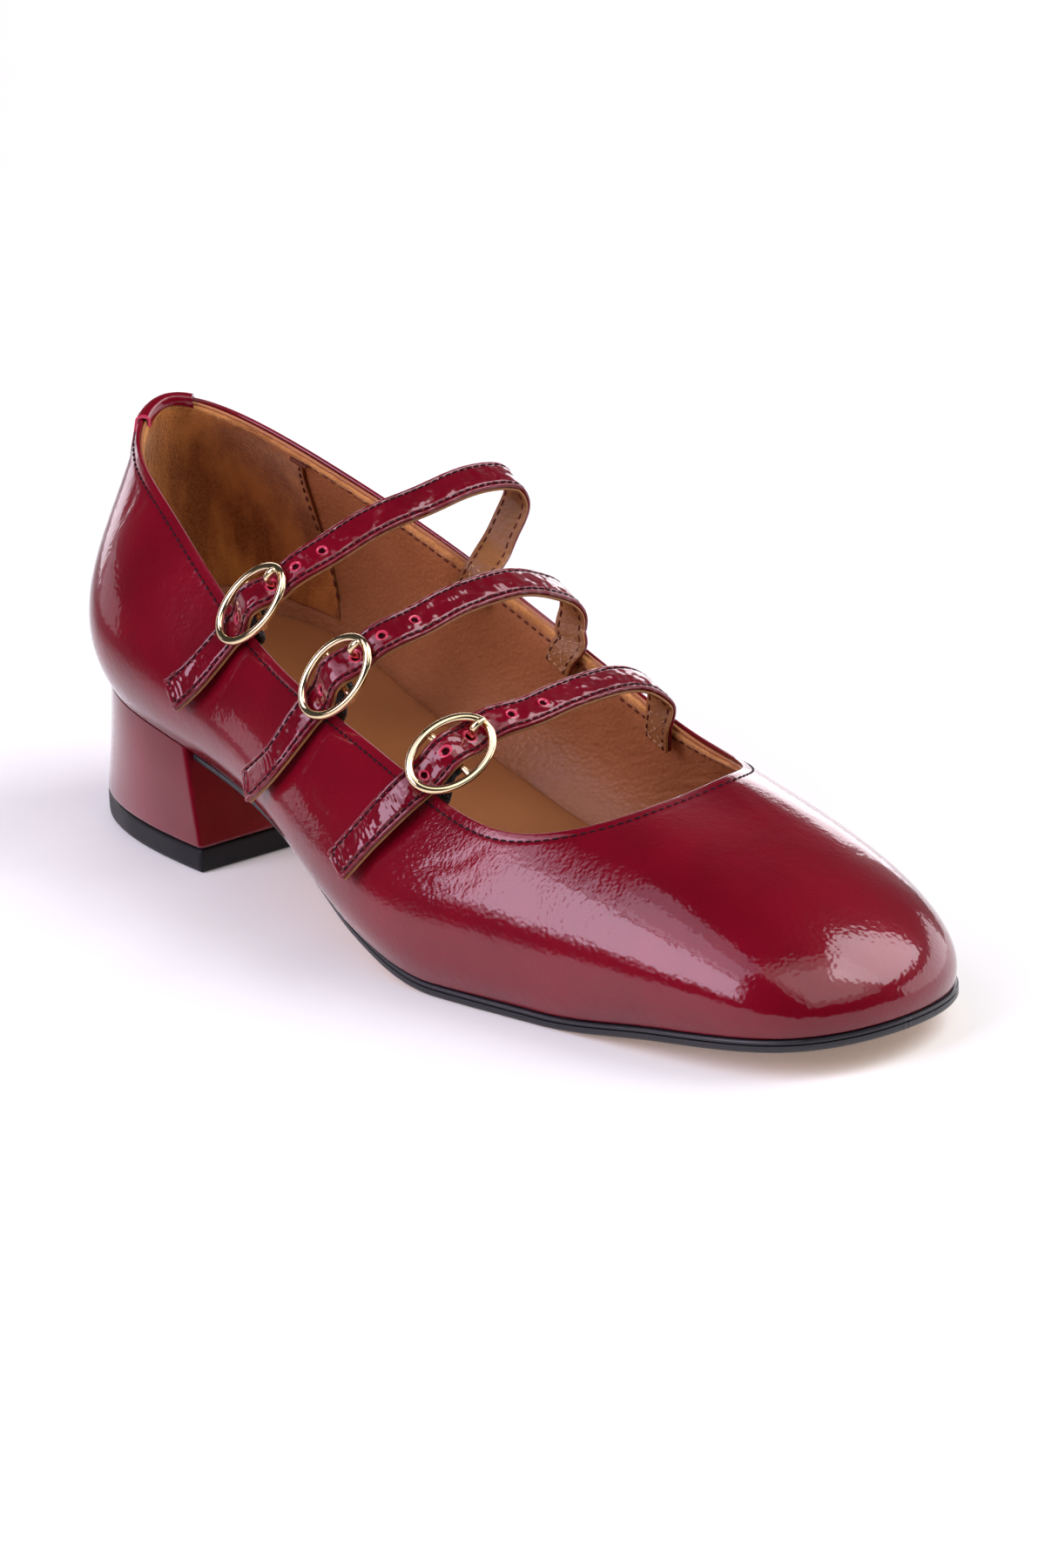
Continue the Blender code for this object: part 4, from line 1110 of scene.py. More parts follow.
@dataclass
class Upper:
    """The patent skin, its lining, the counter, the edge band and their seams."""

    form: ShoeForm
    rows: int = 760
    climbs: int = 84
    skin: float = 0.0010
    rim_steps: int = 7
    stitch_drop: float = 0.0019
    stitch_sunk: float = 0.00006
    lining_rows: int = 400
    lining_top: float = 0.985
    lining_gap: float = 0.00005
    band_top: float = 0.0007
    band_height: float = 0.0023
    band_thickness: float = 0.0006
    band_ragged: float = 0.00018
    counter_ends: Spot = (7.25, 10.74)
    counter_lean: float = 0.16
    counter_top: float = 0.0012
    counter_depth: float = 0.046
    counter_gap: float = 0.0003
    counter_thickness: float = 0.0005
    collar_seam: Seam = Seam(0.0019, 0.0015, 0.00046)
    heel_seam: Seam = Seam(0.0024, 0.0016, 0.00054)
    lining_seam: Seam = Seam(0.0024, 0.0015, 0.00056)
    counter_seam: Seam = Seam(0.0027, 0.0016, 0.0006)
    tack: Seam = Seam(0.0006, 0.0014, 0.0010)
    creases: tuple[Crease, ...] = (
        Crease(((4.95, 0.56), (4.70, 0.50), (4.45, 0.52)), 0.0010, 0.00006),
        Crease(((5.05, 0.46), (4.75, 0.40), (4.50, 0.42)), 0.0009, 0.00005),
        Crease(((3.75, 0.62), (3.45, 0.70), (3.20, 0.88)), 0.0014, 0.00008),
        Crease(((3.95, 0.50), (3.60, 0.52), (3.30, 0.62)), 0.0012, 0.00006),
        Crease(((7.62, 0.92), (7.48, 0.82), (7.42, 0.70)), 0.0011, 0.00008),
        Crease(((7.42, 0.95), (7.34, 0.86), (7.32, 0.76)), 0.0010, 0.00006),
        Crease(((16.9, 0.97), (17.05, 0.88), (17.15, 0.76)), 0.0014, 0.00006),
        Crease(((17.2, 0.98), (17.35, 0.90), (17.50, 0.80)), 0.0012, 0.00004),
    )
    gathers: tuple[Gather, ...] = (
        Gather((4.74, 0.50), (0.013, 0.0090), 1.0),
        Gather((4.95, 0.72), (0.010, 0.0065), 0.6),
        Gather((3.80, 0.56), (0.011, 0.0085), 0.9),
        Gather((3.42, 0.84), (0.011, 0.0100), 0.9, True),
        Gather((4.02, 0.90), (0.007, 0.0070), 0.8, True),
        Gather((7.55, 0.90), (0.007, 0.0060), 0.8, True),
        Gather((2.60, 0.80), (0.014, 0.0080), 0.5, True),
        Gather((17.1, 0.94), (0.008, 0.0100), 0.6, True),
        Gather((13.4, 0.55), (0.016, 0.0090), 0.8),
        Gather((14.6, 0.60), (0.014, 0.0090), 0.8),
    )
    folds: tuple[Gather, ...] = (
        Gather((15.6, 0.42), (0.034, 0.018), 1.0),
        Gather((14.3, 0.50), (0.030, 0.018), 0.8),
        Gather((12.4, 0.45), (0.030, 0.016), 0.6),
    )

    def loops(self, rows: int) -> Array:
        """Spread loops round the shoe, closest together on the outer side where the gathers lie.

        Args:
            rows: How many.

        Returns:
            The loops.
        """
        loop = np.linspace(0.0, self.form.count, 721)
        crowd = 1.0 + 1.2 / (1.0 + np.exp(-4.0 * (loop - 2.4))) / (1.0 + np.exp(4.0 * (loop - 7.9)))
        summed = np.concatenate([[0.0], np.cumsum((crowd[1:] + crowd[:-1]) / 2)])
        return np.interp(np.arange(rows) * summed[-1] / rows, summed, loop)

    def walls(self, loop: Array, climb_out: Array, climb_in: Array, depths: Spot,
              lift: Array | None) -> Array:
        """Shape one closed wall with a rounded top.

        The outer face lies at the first depth and the inner at the second. Between them, over the
        collar, the rim is half an ellipse as thick as the wall and 0.7 of that high.

        Args:
            loop: Places round the shoe.
            climb_out: Climbs of the outer face, rising.
            climb_in: Climbs of the inner face, falling.
            depths: Depth of each face.
            lift: Outward moves of the outer face.

        Returns:
            Points of the wall, loops by profile by 3.
        """
        top = climb_out[-1]
        out = self.form.outer(loop, climb_out) - self.form.normal(loop, climb_out) * depths[0]
        if lift is not None:
            out += self.form.normal(loop, climb_out) * lift[..., None]
        inner = self.form.outer(loop, climb_in) - self.form.normal(loop, climb_in) * depths[1]
        edge_normal = self.form.normal(loop, top)[:, 0]
        rise = unit(self.form.outer(loop, top)[:, 0] - self.form.outer(loop, top - 0.02)[:, 0])
        middle = self.form.outer(loop, top)[:, 0] - edge_normal * (depths[0] + depths[1]) / 2
        half = (depths[1] - depths[0]) / 2
        turn = (np.arange(self.rim_steps) + 1.0) * math.pi / (self.rim_steps + 1.0)
        rim = (middle[:, None] + edge_normal[:, None] * (half * np.cos(turn))[None, :, None]
               + rise[:, None] * (0.7 * half * np.sin(turn))[None, :, None])
        return np.concatenate([out, rim, inner], axis=1)

    def relief(self, loop: Array, climb: Array) -> Array:
        """Work out the outward move of the skin at each loop and climb.

        The creases fade out at the sole and the rim, and a groove of 0.16 mm under the stitches is
        added to them.

        Args:
            loop: Places round the shoe.
            climb: Shares of the way from sole to collar.

        Returns:
            Moves, loops by climbs.
        """
        points = self.form.outer(loop, climb)
        down = np.cumsum(np.linalg.norm(np.diff(points[:, ::-1], axis=1), axis=2), axis=1)
        down = np.concatenate([np.zeros((len(points), 1)), down], axis=1)[:, ::-1]
        lift = sum(shape.lift(self.form, points) for shape in self.creases)
        fade = np.clip(climb / 0.12, 0.0, 1.0)[None] * np.clip(down / 0.004, 0.15, 1.0)
        groove = -0.00016 * np.exp(-((down - self.stitch_drop) / 0.0005) ** 2)
        return lift * fade + groove

    def make(self, shop: Workshop) -> None:
        """Make every piece of the upper.

        Args:
            shop: Where the pieces are made.
        """
        form = self.form
        loop = self.loops(self.rows)
        out = np.linspace(0.0, 1.0, self.climbs)
        back = np.linspace(0.99, 0.0, 9)
        skin = self.walls(loop, out, back, (0.0, self.skin), self.relief(loop, out))
        folded = np.zeros(skin.shape)
        face = skin[:, :self.climbs]
        folded[:, :self.climbs] = sum(shape.weigh(form, face) for shape in self.gathers)
        shop.piece("upper_skin", Sheet.torus(skin, {"fold": folded}), Material.PATENT, ["upper"])

        hidden, shown = np.linspace(0.0, self.lining_top, 14), np.linspace(self.lining_top, 0.0, 46)
        depths = (self.skin + self.lining_gap, form.wall)
        lining = self.walls(self.loops(self.lining_rows), hidden, shown, depths, None)
        folded = sum(shape.weigh(form, lining) for shape in self.folds)
        shop.piece("lining", Sheet.torus(lining, {"fold": folded}), Material.LINING)

        self.band(shop)
        self.counter(shop)
        line, outward = form.below_collar(self.seam_loops(), self.stitch_drop)
        sewn = stitch_line(line - outward * self.stitch_sunk, outward, self.collar_seam, closed=True)
        shop.piece("collar_stitches", sewn, Material.DARK_THREAD)

    def seam_loops(self) -> Array:
        """Return the loops at which the lines of the seams round the collar are worked out."""
        return np.linspace(0.0, self.form.count, 1500, endpoint=False)

    def bow(self, share: Array | float) -> Array | float:
        """Return how far the counter's end leans at a share of its depth: first back, then out."""
        return share * (3.75 * share - 2.75)

    def inner_patch(self, start: float, end: float, tops: Array, drop: Array, depth: float,
                    thick: float, columns: int, lean: float = 0.0) -> Sheet:
        """Shape a thin closed patch on the inside of the wall.

        Args:
            start: First loop.
            end: Last loop.
            tops: Distance of its upper edge below the collar, one a row.
            drop: Distance of its lower edge below the collar, one a row.
            depth: Depth of the face against the wall.
            thick: Thickness of the patch, thinned to a rounded edge all round.
            columns: Points from upper to lower edge.
            lean: How many loops its ends move apart from its upper to its lower edge.

        Returns:
            The patch. Its rows run down the surface from the upper to the lower edge.
        """
        form = self.form
        loop = np.linspace(start, end, len(tops))
        shares = np.linspace(0.0, 1.0, columns)
        spread = np.linspace(-lean, lean, len(loop))
        lines, outs = zip(*[form.below_collar(loop + spread * self.bow(share),
                                              tops * (1 - share) + drop * share) for share in shares])
        line, out = np.stack(lines, axis=1), np.stack(outs, axis=1)
        round_off = np.clip(np.minimum(shares, 1.0 - shares) * (columns - 1) / 1.5, 0.0, 1.0) ** 0.5
        face = line - out * (depth + thick * np.maximum(round_off, 0.05))[None, :, None]
        seat = line - out * depth
        return Sheet.slab(np.concatenate([face, seat[:, ::-1]], axis=1))

    def band(self, shop: Workshop) -> None:
        """Make the raw edge band inside the collar and the stitches along it.

        Args:
            shop: Where the pieces are made.
        """
        form = self.form
        loop = np.linspace(0.0, form.count, 521)
        waves = ((1.0, 37.0, 0.0), (0.7, 83.0, 1.0), (0.5, 151.0, 0.0))
        ragged = self.band_ragged * sum(high * np.sin(rate * loop + late) for high, rate, late in waves)
        tops = self.band_top + 0.3 * ragged
        drop = self.band_height + ragged
        half = len(loop) // 2
        sides = ((0.0, form.back, slice(half + 1)), (form.back, form.count, slice(half, None)))
        patches = [self.inner_patch(start, end, tops[side], drop[side], form.wall,
                                    self.band_thickness, 7) for start, end, side in sides]
        shop.piece("edge_band", Sheet.join(patches), Material.RAW_EDGE)
        loops = self.seam_loops()
        line, outward = form.below_collar(loops, self.band_height + 0.0005)
        place = line - outward * (form.wall + 2.0 * self.stitch_sunk)
        heel = (loops > self.counter_ends[0]) & (loops < self.counter_ends[1])
        sewn = stitch_line(place[heel], -outward[heel], self.heel_seam)
        shop.piece("counter_stitches", sewn, Material.TAN_THREAD)
        past = np.flatnonzero(heel)[-1] + 1
        rest = np.roll(np.arange(len(loops)), -past)[:np.count_nonzero(~heel)]
        sewn = stitch_line(place[rest], -outward[rest], self.lining_seam)
        shop.piece("lining_stitches", sewn, Material.BROWN_THREAD)

    def counter(self, shop: Workshop) -> None:
        """Make the suede counter lining at the heel, its seams and their bar tacks.

        Args:
            shop: Where the pieces are made.
        """
        form = self.form
        start, end = self.counter_ends
        loop = np.linspace(start, end, 190)
        wavy = 0.00035 * np.sin(9.0 * loop) + 0.0002 * np.sin(23.0 * loop + 0.7)
        room = form.outer(loop, 1.0)[:, 0, 2] - form.seat(form.outer(loop, 0.0)[:, 0, 0])
        deep = np.minimum(room * 0.98, self.counter_depth)
        patch = self.inner_patch(start, end, self.counter_top + wavy, deep, form.wall + self.counter_gap,
                                 self.counter_thickness, 40, self.counter_lean)
        shop.piece("suede_counter", patch, Material.SUEDE)
        face = form.wall + self.counter_gap + self.counter_thickness + 0.00008
        share = np.linspace(0.02, 0.98, 60)
        seams = []
        for side, inset in ((end, -0.03), (start, 0.03)):
            spot = side + inset + math.copysign(self.counter_lean, -inset) * self.bow(share)
            line, outward = form.below_collar(spot, 0.0030 + share * (deep[0] * 0.9))
            seams.append(stitch_line(line - outward * face, -outward, self.counter_seam))
        shop.piece("counter_seams", Sheet.join(seams), Material.BROWN_THREAD)
        tacks = []
        for side in (end, start):
            spot = np.linspace(side - 0.10, side + 0.03, 12)
            line, outward = form.below_collar(spot, 0.0026)
            tacks.append(stitch_line(line - outward * (face + 0.00002), -outward, self.tack))
        shop.piece("bar_tacks", Sheet.join(tacks), Material.BROWN_THREAD)


@dataclass
class Underfoot:
    """The sock on the insole and the outsole."""

    form: ShoeForm
    rows: int = 150
    breast_top: float = 0.0561
    breast_gap: float = 0.0012

    def cross_rings(self, outer_side: list[Array], inner_side: list[Array], middle: int) -> Array:
        """Join lines of one side to the other's, with straight steps between.

        Args:
            outer_side: Plan lines from the outer edge inward.
            inner_side: The same on the inner side.
            middle: Steps between the last lines of the two sides.

        Returns:
            Plan points, rows by columns by 2.
        """
        share = np.linspace(0.0, 1.0, middle + 1)[1:-1][None, :, None]
        across = outer_side[-1][:, None] * (1 - share) + inner_side[-1][:, None] * share
        outer, inner = np.stack(outer_side, axis=1), np.stack(inner_side[::-1], axis=1)
        return np.concatenate([outer, across, inner], axis=1)

    def sock(self, shop: Workshop) -> None:
        """Make the insole with its sock: dished by 0.4 mm and turned up softly at the edge.

        Args:
            shop: Where the pieces are made.
        """
        form = self.form
        loop = np.linspace(0.0, form.back, self.rows)
        insets = (0.0, 0.0006, 0.0020, 0.0045, 0.0080)
        rises = np.array([-0.0006, 0.0, 0.0004, 0.0002, 0.0])
        room = form.wall + form.clearance
        sides = [[form.feather(place, -(room + inset)) for inset in insets]
                 for place in (loop, form.count - loop)]
        plan = self.cross_rings(sides[0], sides[1], 14)
        height = form.seat(plan[..., 0]) + form.insole_thickness
        count = plan.shape[1]
        bend = np.zeros(count)
        bend[:5], bend[-5:] = rises, rises[::-1]
        dish = -0.0004 * np.sin(math.pi * np.linspace(0.0, 1.0, count)) ** 2
        top = np.concatenate([plan, (height + bend + dish)[..., None]], axis=2)
        low = np.concatenate([plan, form.seat(plan[..., 0])[..., None]], axis=2)
        shop.piece("insole_sock", Sheet.tube(np.concatenate([top, low[:, ::-1]], axis=1)), Material.SOCK,
                   ["insole"])

    def outsole(self, shop: Workshop) -> None:
        """Make the outsole: a rounded black edge with a welt groove, and a tan underside.

        Args:
            shop: Where the pieces are made.
        """
        form = self.form
        end = self.breast_top + self.breast_gap
        outer_end, inner_end = form.loops_at(end)
        share = np.linspace(0.0, 1.0, self.rows * 2) ** 0.9
        outer_loop, inner_loop = outer_end * share, form.count + (inner_end - form.count) * share
        # Profile of the edge from the top face to the underside: inset and share of the thickness
        profile = ((0.0042, 0.0), (0.0006, 0.0), (0.00012, 0.06), (0.0, 0.16), (0.00002, 0.30),
                   (0.00040, 0.37), (0.00002, 0.44), (0.0, 0.60), (0.0, 0.82), (0.00025, 0.95),
                   (0.0007, 1.0), (0.0026, 1.0), (0.0042, 1.0))
        sides = []
        for loop in (outer_loop, inner_loop):
            lines = [form.sole_edge(loop, inset) for inset, _ in profile]
            for line in lines:
                line[-1, 0] = end
            sides.append(np.stack(lines, axis=1))
        drops = np.array([drop for _, drop in profile])
        count, steps = len(profile), 8
        shares = np.linspace(0.0, 1.0, steps + 1)[1:-1][None, :, None]
        under = sides[0][:, -1:] * (1 - shares) + sides[1][:, -1:] * shares
        over = sides[1][:, :1] * (1 - shares) + sides[0][:, :1] * shares
        plan = np.concatenate([sides[0], under, sides[1][:, ::-1], over], axis=1)
        drop = np.concatenate([drops, np.ones(steps - 1), drops[::-1], np.zeros(steps - 1)])
        top = form.seat(plan[..., 0]) - form.clearance
        rings = np.concatenate([plan, (top - drop * form.sole_thickness)[..., None]], axis=2)
        black = np.zeros(plan.shape[1])
        black[:count - 3] = 1.0
        black[count + steps - 1 + 3:] = 1.0
        marks = {"edge": np.broadcast_to(black, plan.shape[:2]).copy()}
        shop.piece("outsole_leather", Sheet.tube(rings, marks), Material.SOLE, ["outsole"])


@dataclass
class Heel:
    """The wrapped heel block and its top piece."""

    form: ShoeForm
    breast_top: float = 0.0561
    breast_foot: float = 0.0626
    foot_back: float = 0.0036
    foot_outer: float = 0.0325
    foot_inner: float = 0.0300
    squareness: float = 2.6
    top_piece_height: float = 0.0052
    points: int = 300

    def outline(self, curve: Array, inset: float = 0.0) -> Array:
        """Close a curve with the straight breast, averaged over three points to round its corners.

        Args:
            curve: Plan points from the outer breast corner round the back to the inner one.
            inset: Distance that the line moves inward.

        Returns:
            Plan points, evenly spread along curve and breast.
        """
        side = resample(curve, np.linspace(0.0, chord_places(curve)[-1], 2 * self.points // 3 + 1))
        share = np.linspace(0.0, 1.0, self.points // 3 + 1)[1:-1, None]
        ring = np.concatenate([side, side[-1] * (1 - share) + side[0] * share])
        ring = np.mean([np.roll(ring, step, 0) for step in (-1, 0, 1)], axis=0)
        tangent = unit(np.roll(ring, -1, 0) - np.roll(ring, 1, 0))
        outward = np.stack([-tangent[:, 1], tangent[:, 0]], axis=1)
        return ring - outward * inset * np.sign(np.sum(outward * (ring - ring.mean(0))))

    def foot(self, inset: float = 0.0) -> Array:
        """Work out the outline of the heel's foot, a squared half ellipse behind the breast.

        Args:
            inset: Distance that the outline moves inward.

        Returns:
            Plan points.
        """
        turn = np.linspace(0.0, math.pi / 2, 200)
        power = 2.0 / self.squareness
        x = self.breast_foot - (self.breast_foot - self.foot_back) * np.sin(turn) ** power
        spread = np.clip(np.cos(turn), 0.0, 1.0) ** power
        outer = np.stack([x, -self.foot_outer * spread], axis=1)
        inner = np.stack([x, self.foot_inner * spread], axis=1)
        return self.outline(np.concatenate([outer, inner[-2::-1]]), inset)

    def seat_outline(self) -> Array:
        """Return the outline of the heel's top, along the feather line."""
        ends = self.form.loops_at(self.breast_top)
        return self.outline(self.form.feather(np.linspace(*ends, 400)))

    def make(self, shop: Workshop) -> None:
        """Make the block, whose sides run straight from seat to foot, and the rubber under it.

        Args:
            shop: Where the pieces are made.
        """
        form = self.form
        top, low = self.seat_outline(), self.foot()
        lowest = self.top_piece_height + form.clearance
        shares = np.concatenate([[0.0, 0.012], np.linspace(0.03, 0.965, 26), [0.982, 0.993, 1.0]])
        seat = form.seat(top[:, 0]) - form.clearance
        rings = []
        for share in shares:
            tuck = 0.0004 * max(0.0, (share - 0.975) / 0.025) ** 2
            plan = top * (1 - share) + low * share
            plan = plan - unit(plan - plan.mean(0)) * tuck
            rings.append(np.concatenate([plan, (seat * (1 - share) + lowest * share)[:, None]], axis=1))
        shop.piece("heel_wrap", Sheet.tube(np.array(rings)), Material.HEEL_PATENT, ["heel_block"], 60.0)

        high = self.top_piece_height
        levels = ((high, 0.0005), (high - 0.0003, 0.0001), (high - 0.0007, 0.0), (0.0012, 0.0),
                  (0.0005, 0.0001), (0.0001, 0.0004), (0.0, 0.0008))
        rings = [np.concatenate([self.foot(inset), np.full((self.points, 1), level)], axis=1)
                 for level, inset in levels]
        shop.piece("heel_rubber", Sheet.tube(np.array(rings)), Material.RUBBER, ["top_piece"], 60.0)


@dataclass
class BackTab:
    """The tab folded over the collar at the back, with its raw ends."""

    form: ShoeForm
    wall: float = 0.0006
    drop_out: float = 0.0080
    drop_in: float = 0.0010
    rim_drop: float = 0.0008
    arch: float = 0.55
    reach: float = 0.55

    def make(self, shop: Workshop) -> None:
        """Make the tab: a slab down the outside, over the rim and down the inside.

        Each face is a row of points a clearance off the leather, and the outer one a wall further.
        Over the rim it is an arc of an ellipse round the middle of the collar's edge.

        Args:
            shop: Where the pieces are made.
        """
        form = self.form
        loops = np.linspace(form.back - self.reach, form.back + self.reach, 44)
        outside, inside = ([form.below_collar(loops, drop) for drop in np.linspace(start, end, count)]
                           for start, end, count in ((self.drop_out, self.rim_drop, 12),
                                                     (self.rim_drop, self.drop_in, 6)))
        outward = unit(form.normal(loops, 1.0)[:, 0] * LEVEL)
        middle = form.outer(loops, 1.0)[:, 0] - outward * form.wall / 2
        bend = form.wall / 2 + form.clearance
        faces = []
        for over in (0.0, self.wall):
            face = [line + normal * (form.clearance + over) for line, normal in outside]
            face += [middle + outward * (bend + over) * math.cos(turn)
                     + UP * (bend * self.arch + over) * math.sin(turn)
                     for turn in np.linspace(0.12, 0.88, 9) * math.pi]
            face += [line - normal * (form.wall + form.clearance + over) for line, normal in inside]
            faces.append(face)
        rings = np.stack(faces[0] + faces[1][::-1], axis=1)
        # The cut end shows on the outer side, but for its nine lowest points on each face
        raw = np.zeros(rings.shape[:2])
        raw[0, 9:-9] = 1.0
        shop.piece("back_tab", Sheet.slab(rings, {"raw": raw}), Material.TAB_PATENT, ["heel_tab"])


# A strap's path: distances from the bar toward the tail, the middle line, and the directions across
# the strap and out of its face
Run = tuple[Array, Array, Array, Array]


@dataclass(frozen=True)
class StrapRow:
    """One strap's own places, as the CAD's table gives them."""

    number: int
    outer: float
    inner: float
    rise: float
    tilt: float
    arch: tuple[Spot, ...]
    buckle: Colour
    along: Colour
    across: Colour
    tail: tuple[Colour, ...]
    holes: tuple[float, ...]


STRAP_ROWS = (
    StrapRow(1, 6.06, 12.21, 0.0214, 30.0,
             ((0.18, 0.645), (0.35, 0.780), (0.52, 0.870), (0.69, 0.925), (0.86, 0.995),
              (1.03, 0.995), (1.13, 0.900), (1.15, 0.715), (1.10, 0.477), (1.03, 0.243)),
             (0.067, -0.010, 0.357), (-0.55, -0.45, -0.70), (0.82, -0.28, -0.48),
             ((6.13, 0.55, 0.944), (6.22, 0.38, 1.222)),
             (0.0182, 0.0120, 0.0056, -0.0046)),
    StrapRow(2, 5.24, 12.92, 0.0187, 30.0,
             ((0.195, 0.885), (0.365, 0.978), (0.535, 1.010), (0.700, 0.980), (0.856, 0.813),
              (0.942, 0.626), (0.964, 0.400), (0.950, 0.200)),
             (0.179, -0.010, 0.411), (-0.53, -0.45, -0.72), (0.86, -0.12, -0.50),
             ((5.21, 0.55, 0.944), (5.335, 0.31, 1.222)),
             (0.0202, 0.0125, 0.0056, -0.0042)),
    StrapRow(3, 4.06, 13.83, 0.0129, 26.0,
             ((0.180, 0.930), (0.330, 0.977), (0.530, 1.000), (0.716, 0.946), (0.873, 0.680),
              (0.935, 0.330)),
             (0.040, 0.221, 0.368), (-0.08, -0.90, -0.45), (0.80, 0.20, -0.56),
             ((4.23, 0.59, 1.111), (4.335, 0.375, 1.222)),
             (0.0240, 0.0160, 0.0056, -0.0007, -0.0066)),
)


@dataclass
class BuckledStrap:
    """One strap with its backing, stitches, holes, buckle, prong and elastic."""

    form: ShoeForm
    row: StrapRow
    width: float = 0.0078
    thickness: float = 0.0018
    sewn_low: float = 0.80
    sewn_high: float = 0.95
    ring_length: float = 0.0210
    ring_width: float = 0.0150
    wire: float = 0.0018
    bar: float = 0.0014
    bar_drop: float = 0.0012
    hump_reach: float = 0.0072
    side: float = 0.0006
    arch_reach: float = 0.0120
    rim_room: float = 0.0006
    band_room: float = 0.0007
    prong_thickness: float = 0.0014
    prong_hole_place: float = 0.0056
    elastic_width: float = 0.0084
    elastic_thickness: float = 0.0012
    elastic_back: float = 0.09
    elastic_low: float = 0.76
    elastic_high: float = 0.93
    step: float = 0.00028
    hole: float = 0.00085
    side_round: float = 0.00035
    seam_inset: float = 0.00115
    crown: float = 0.00022
    groove: Spot = (0.00026, 0.00028)
    ridge_period: float = 0.0012
    ridges: Spot = (0.000055, 0.000016)
    punch: Spot = (0.00070, 0.00008)
    back_shown: float = 0.016
    face_seam: Seam = Seam(0.0018, 0.00145, 0.00044)
    back_seam: Seam = Seam(0.0022, 0.0015, 0.0005)
    end_seam: Seam = Seam(0.0018, 0.0013, 0.00044)

    def ring_frame(self) -> tuple[Array, Array, Array, Array]:
        """Place the buckle from the two collar ends of its strap.

        Returns:
            The ring's middle and its along, across and outward directions.
        """
        outer, inner = self.form.outer(np.array([self.row.outer, self.row.inner]), 1.0)[:, 0]
        over = unit((inner - outer) * LEVEL)
        forward = np.array([over[1], -over[0], 0.0])
        shares = np.array(self.row.buckle) * self.ring_length
        middle = outer + forward * shares[0] + over * shares[1] + UP * shares[2]
        along = unit(self.row.along)
        across = np.array(self.row.across)
        across = unit(across - along * (across @ along))
        return middle, along, across, np.cross(along, across)

    def under_rim(self) -> float:
        """Return the depth of the strap's middle under the ring's middle."""
        return self.wire / 2 + self.rim_room + self.thickness / 2

    def run(self) -> Run:
        """Work out the strap's path, as the CAD does.

        A spline goes from the sewn end over the arch, flat under the ring and down the tail, and is
        lifted over the bar by the square of a cosine.

        Returns:
            The strap's path.
        """
        form, row = self.form, self.row
        middle, along, across, outward = self.ring_frame()
        inner = form.outer(row.inner, 1.0)[0, 0]
        start = middle - along * self.arch_reach
        over = (inner - start) * LEVEL
        forward = unit([over[1], -over[0], 0.0])
        inside = form.wall + form.clearance + self.band_room + self.thickness / 2
        rim = (self.ring_length - self.wire) / 2
        tilt = math.radians(row.tilt)
        leaning = forward * math.cos(tilt) - UP * math.sin(tilt)
        points = [form.place(row.inner, climb, inside) for climb in (self.sewn_low, self.sewn_high, 1.0)]
        widths = [form.ahead(row.inner, 1.0, -0.1)] * 3
        for share, rise in reversed(row.arch):
            points.append(start * LEVEL + over * share + UP * (inner[2] + rise * row.rise))
            widths.append(leaning)
        for side in (-1.0, -0.6, 0.0, 0.6, 1.0):
            points.append(middle + along * rim * side - across * self.side - outward * self.under_rim())
            widths.append(across)
        for loop, climb, gap in row.tail:
            points.append(form.place(loop, climb, -(gap + 0.5) * self.thickness))
            widths.append(form.ahead(loop, climb))
        knots = chord_places(np.array(points))
        at_bar = knots[len(row.arch) + 5]
        places = np.linspace(0.0, knots[-1], round(knots[-1] / self.step))
        lift = self.under_rim() - self.bar_drop + self.bar / 2 + form.clearance + self.thickness / 2
        near_bar = np.clip(np.abs(places - at_bar) / self.hump_reach, 0.0, 1.0)
        curve = open_spline(np.array(points), places)
        curve = curve + outward * (lift * np.cos(near_bar * math.pi / 2) ** 2)[:, None]
        tangent = unit(np.gradient(curve, places, axis=0))
        width = square_to(tangent, read_rows(places, knots, np.array(widths)))
        return places - at_bar, curve, width, np.cross(tangent, width)

    def top_relief(self, place: Array, side: Array) -> tuple[Array, Array]:
        """Work out the relief of the strap's face.

        The face is crowned by a parabola, pressed in along the two rows of stitches by the bell of
        the groove's depth and width, and raised in fine ridges across the tail and near the buckle.
        Each hole is a well with steep walls, the power of eight, in a low ring: punch has both.

        Args:
            place: Distances from the bar toward the tail, one a row.
            side: Distances from the middle line, one a column.

        Returns:
            Outward moves, and distances to the nearest hole's middle, both rows by columns.
        """
        half = self.width / 2
        s, a = place[:, None], side[None, :]
        crown = -self.crown * (a / half) ** 2
        deep, wide = self.groove
        groove = -deep * np.exp(-((np.abs(a) - (half - self.seam_inset)) / wide) ** 2)
        tail = 1.0 / (1.0 + np.exp(-(s - 0.011) / 0.0012))
        bent = 1.0 / (1.0 + np.exp(-(s + 0.017) / 0.002)) / (1.0 + np.exp((s - 0.009) / 0.002))
        folds = np.sin(2 * math.pi * s / self.ridge_period
                       + 1.3 * np.sin(900.0 * a + self.row.number) + 2.0 * np.sin(310.0 * s))
        slow = 0.5 + 0.5 * np.sin(2 * math.pi * s / 0.0083 + self.row.number)
        high, low = self.ridges
        wrinkle = folds * (high * tail * slow + low * bent) * np.cos(a / half * 1.35)
        lift = crown + groove + wrinkle
        nearest = np.full_like(lift, 0.004)
        for hole in self.row.holes:
            size = self.hole * (1.35 if abs(hole - self.prong_hole_place) < 1e-6 else 1.0)
            distance = np.hypot(s + hole, a) / size
            lift -= self.punch[0] * np.exp(-(distance / 0.86) ** 8)
            lift += self.punch[1] * np.exp(-((distance - 1.25) / 0.25) ** 2)
            nearest = np.minimum(nearest, distance * self.hole)
        return lift, nearest

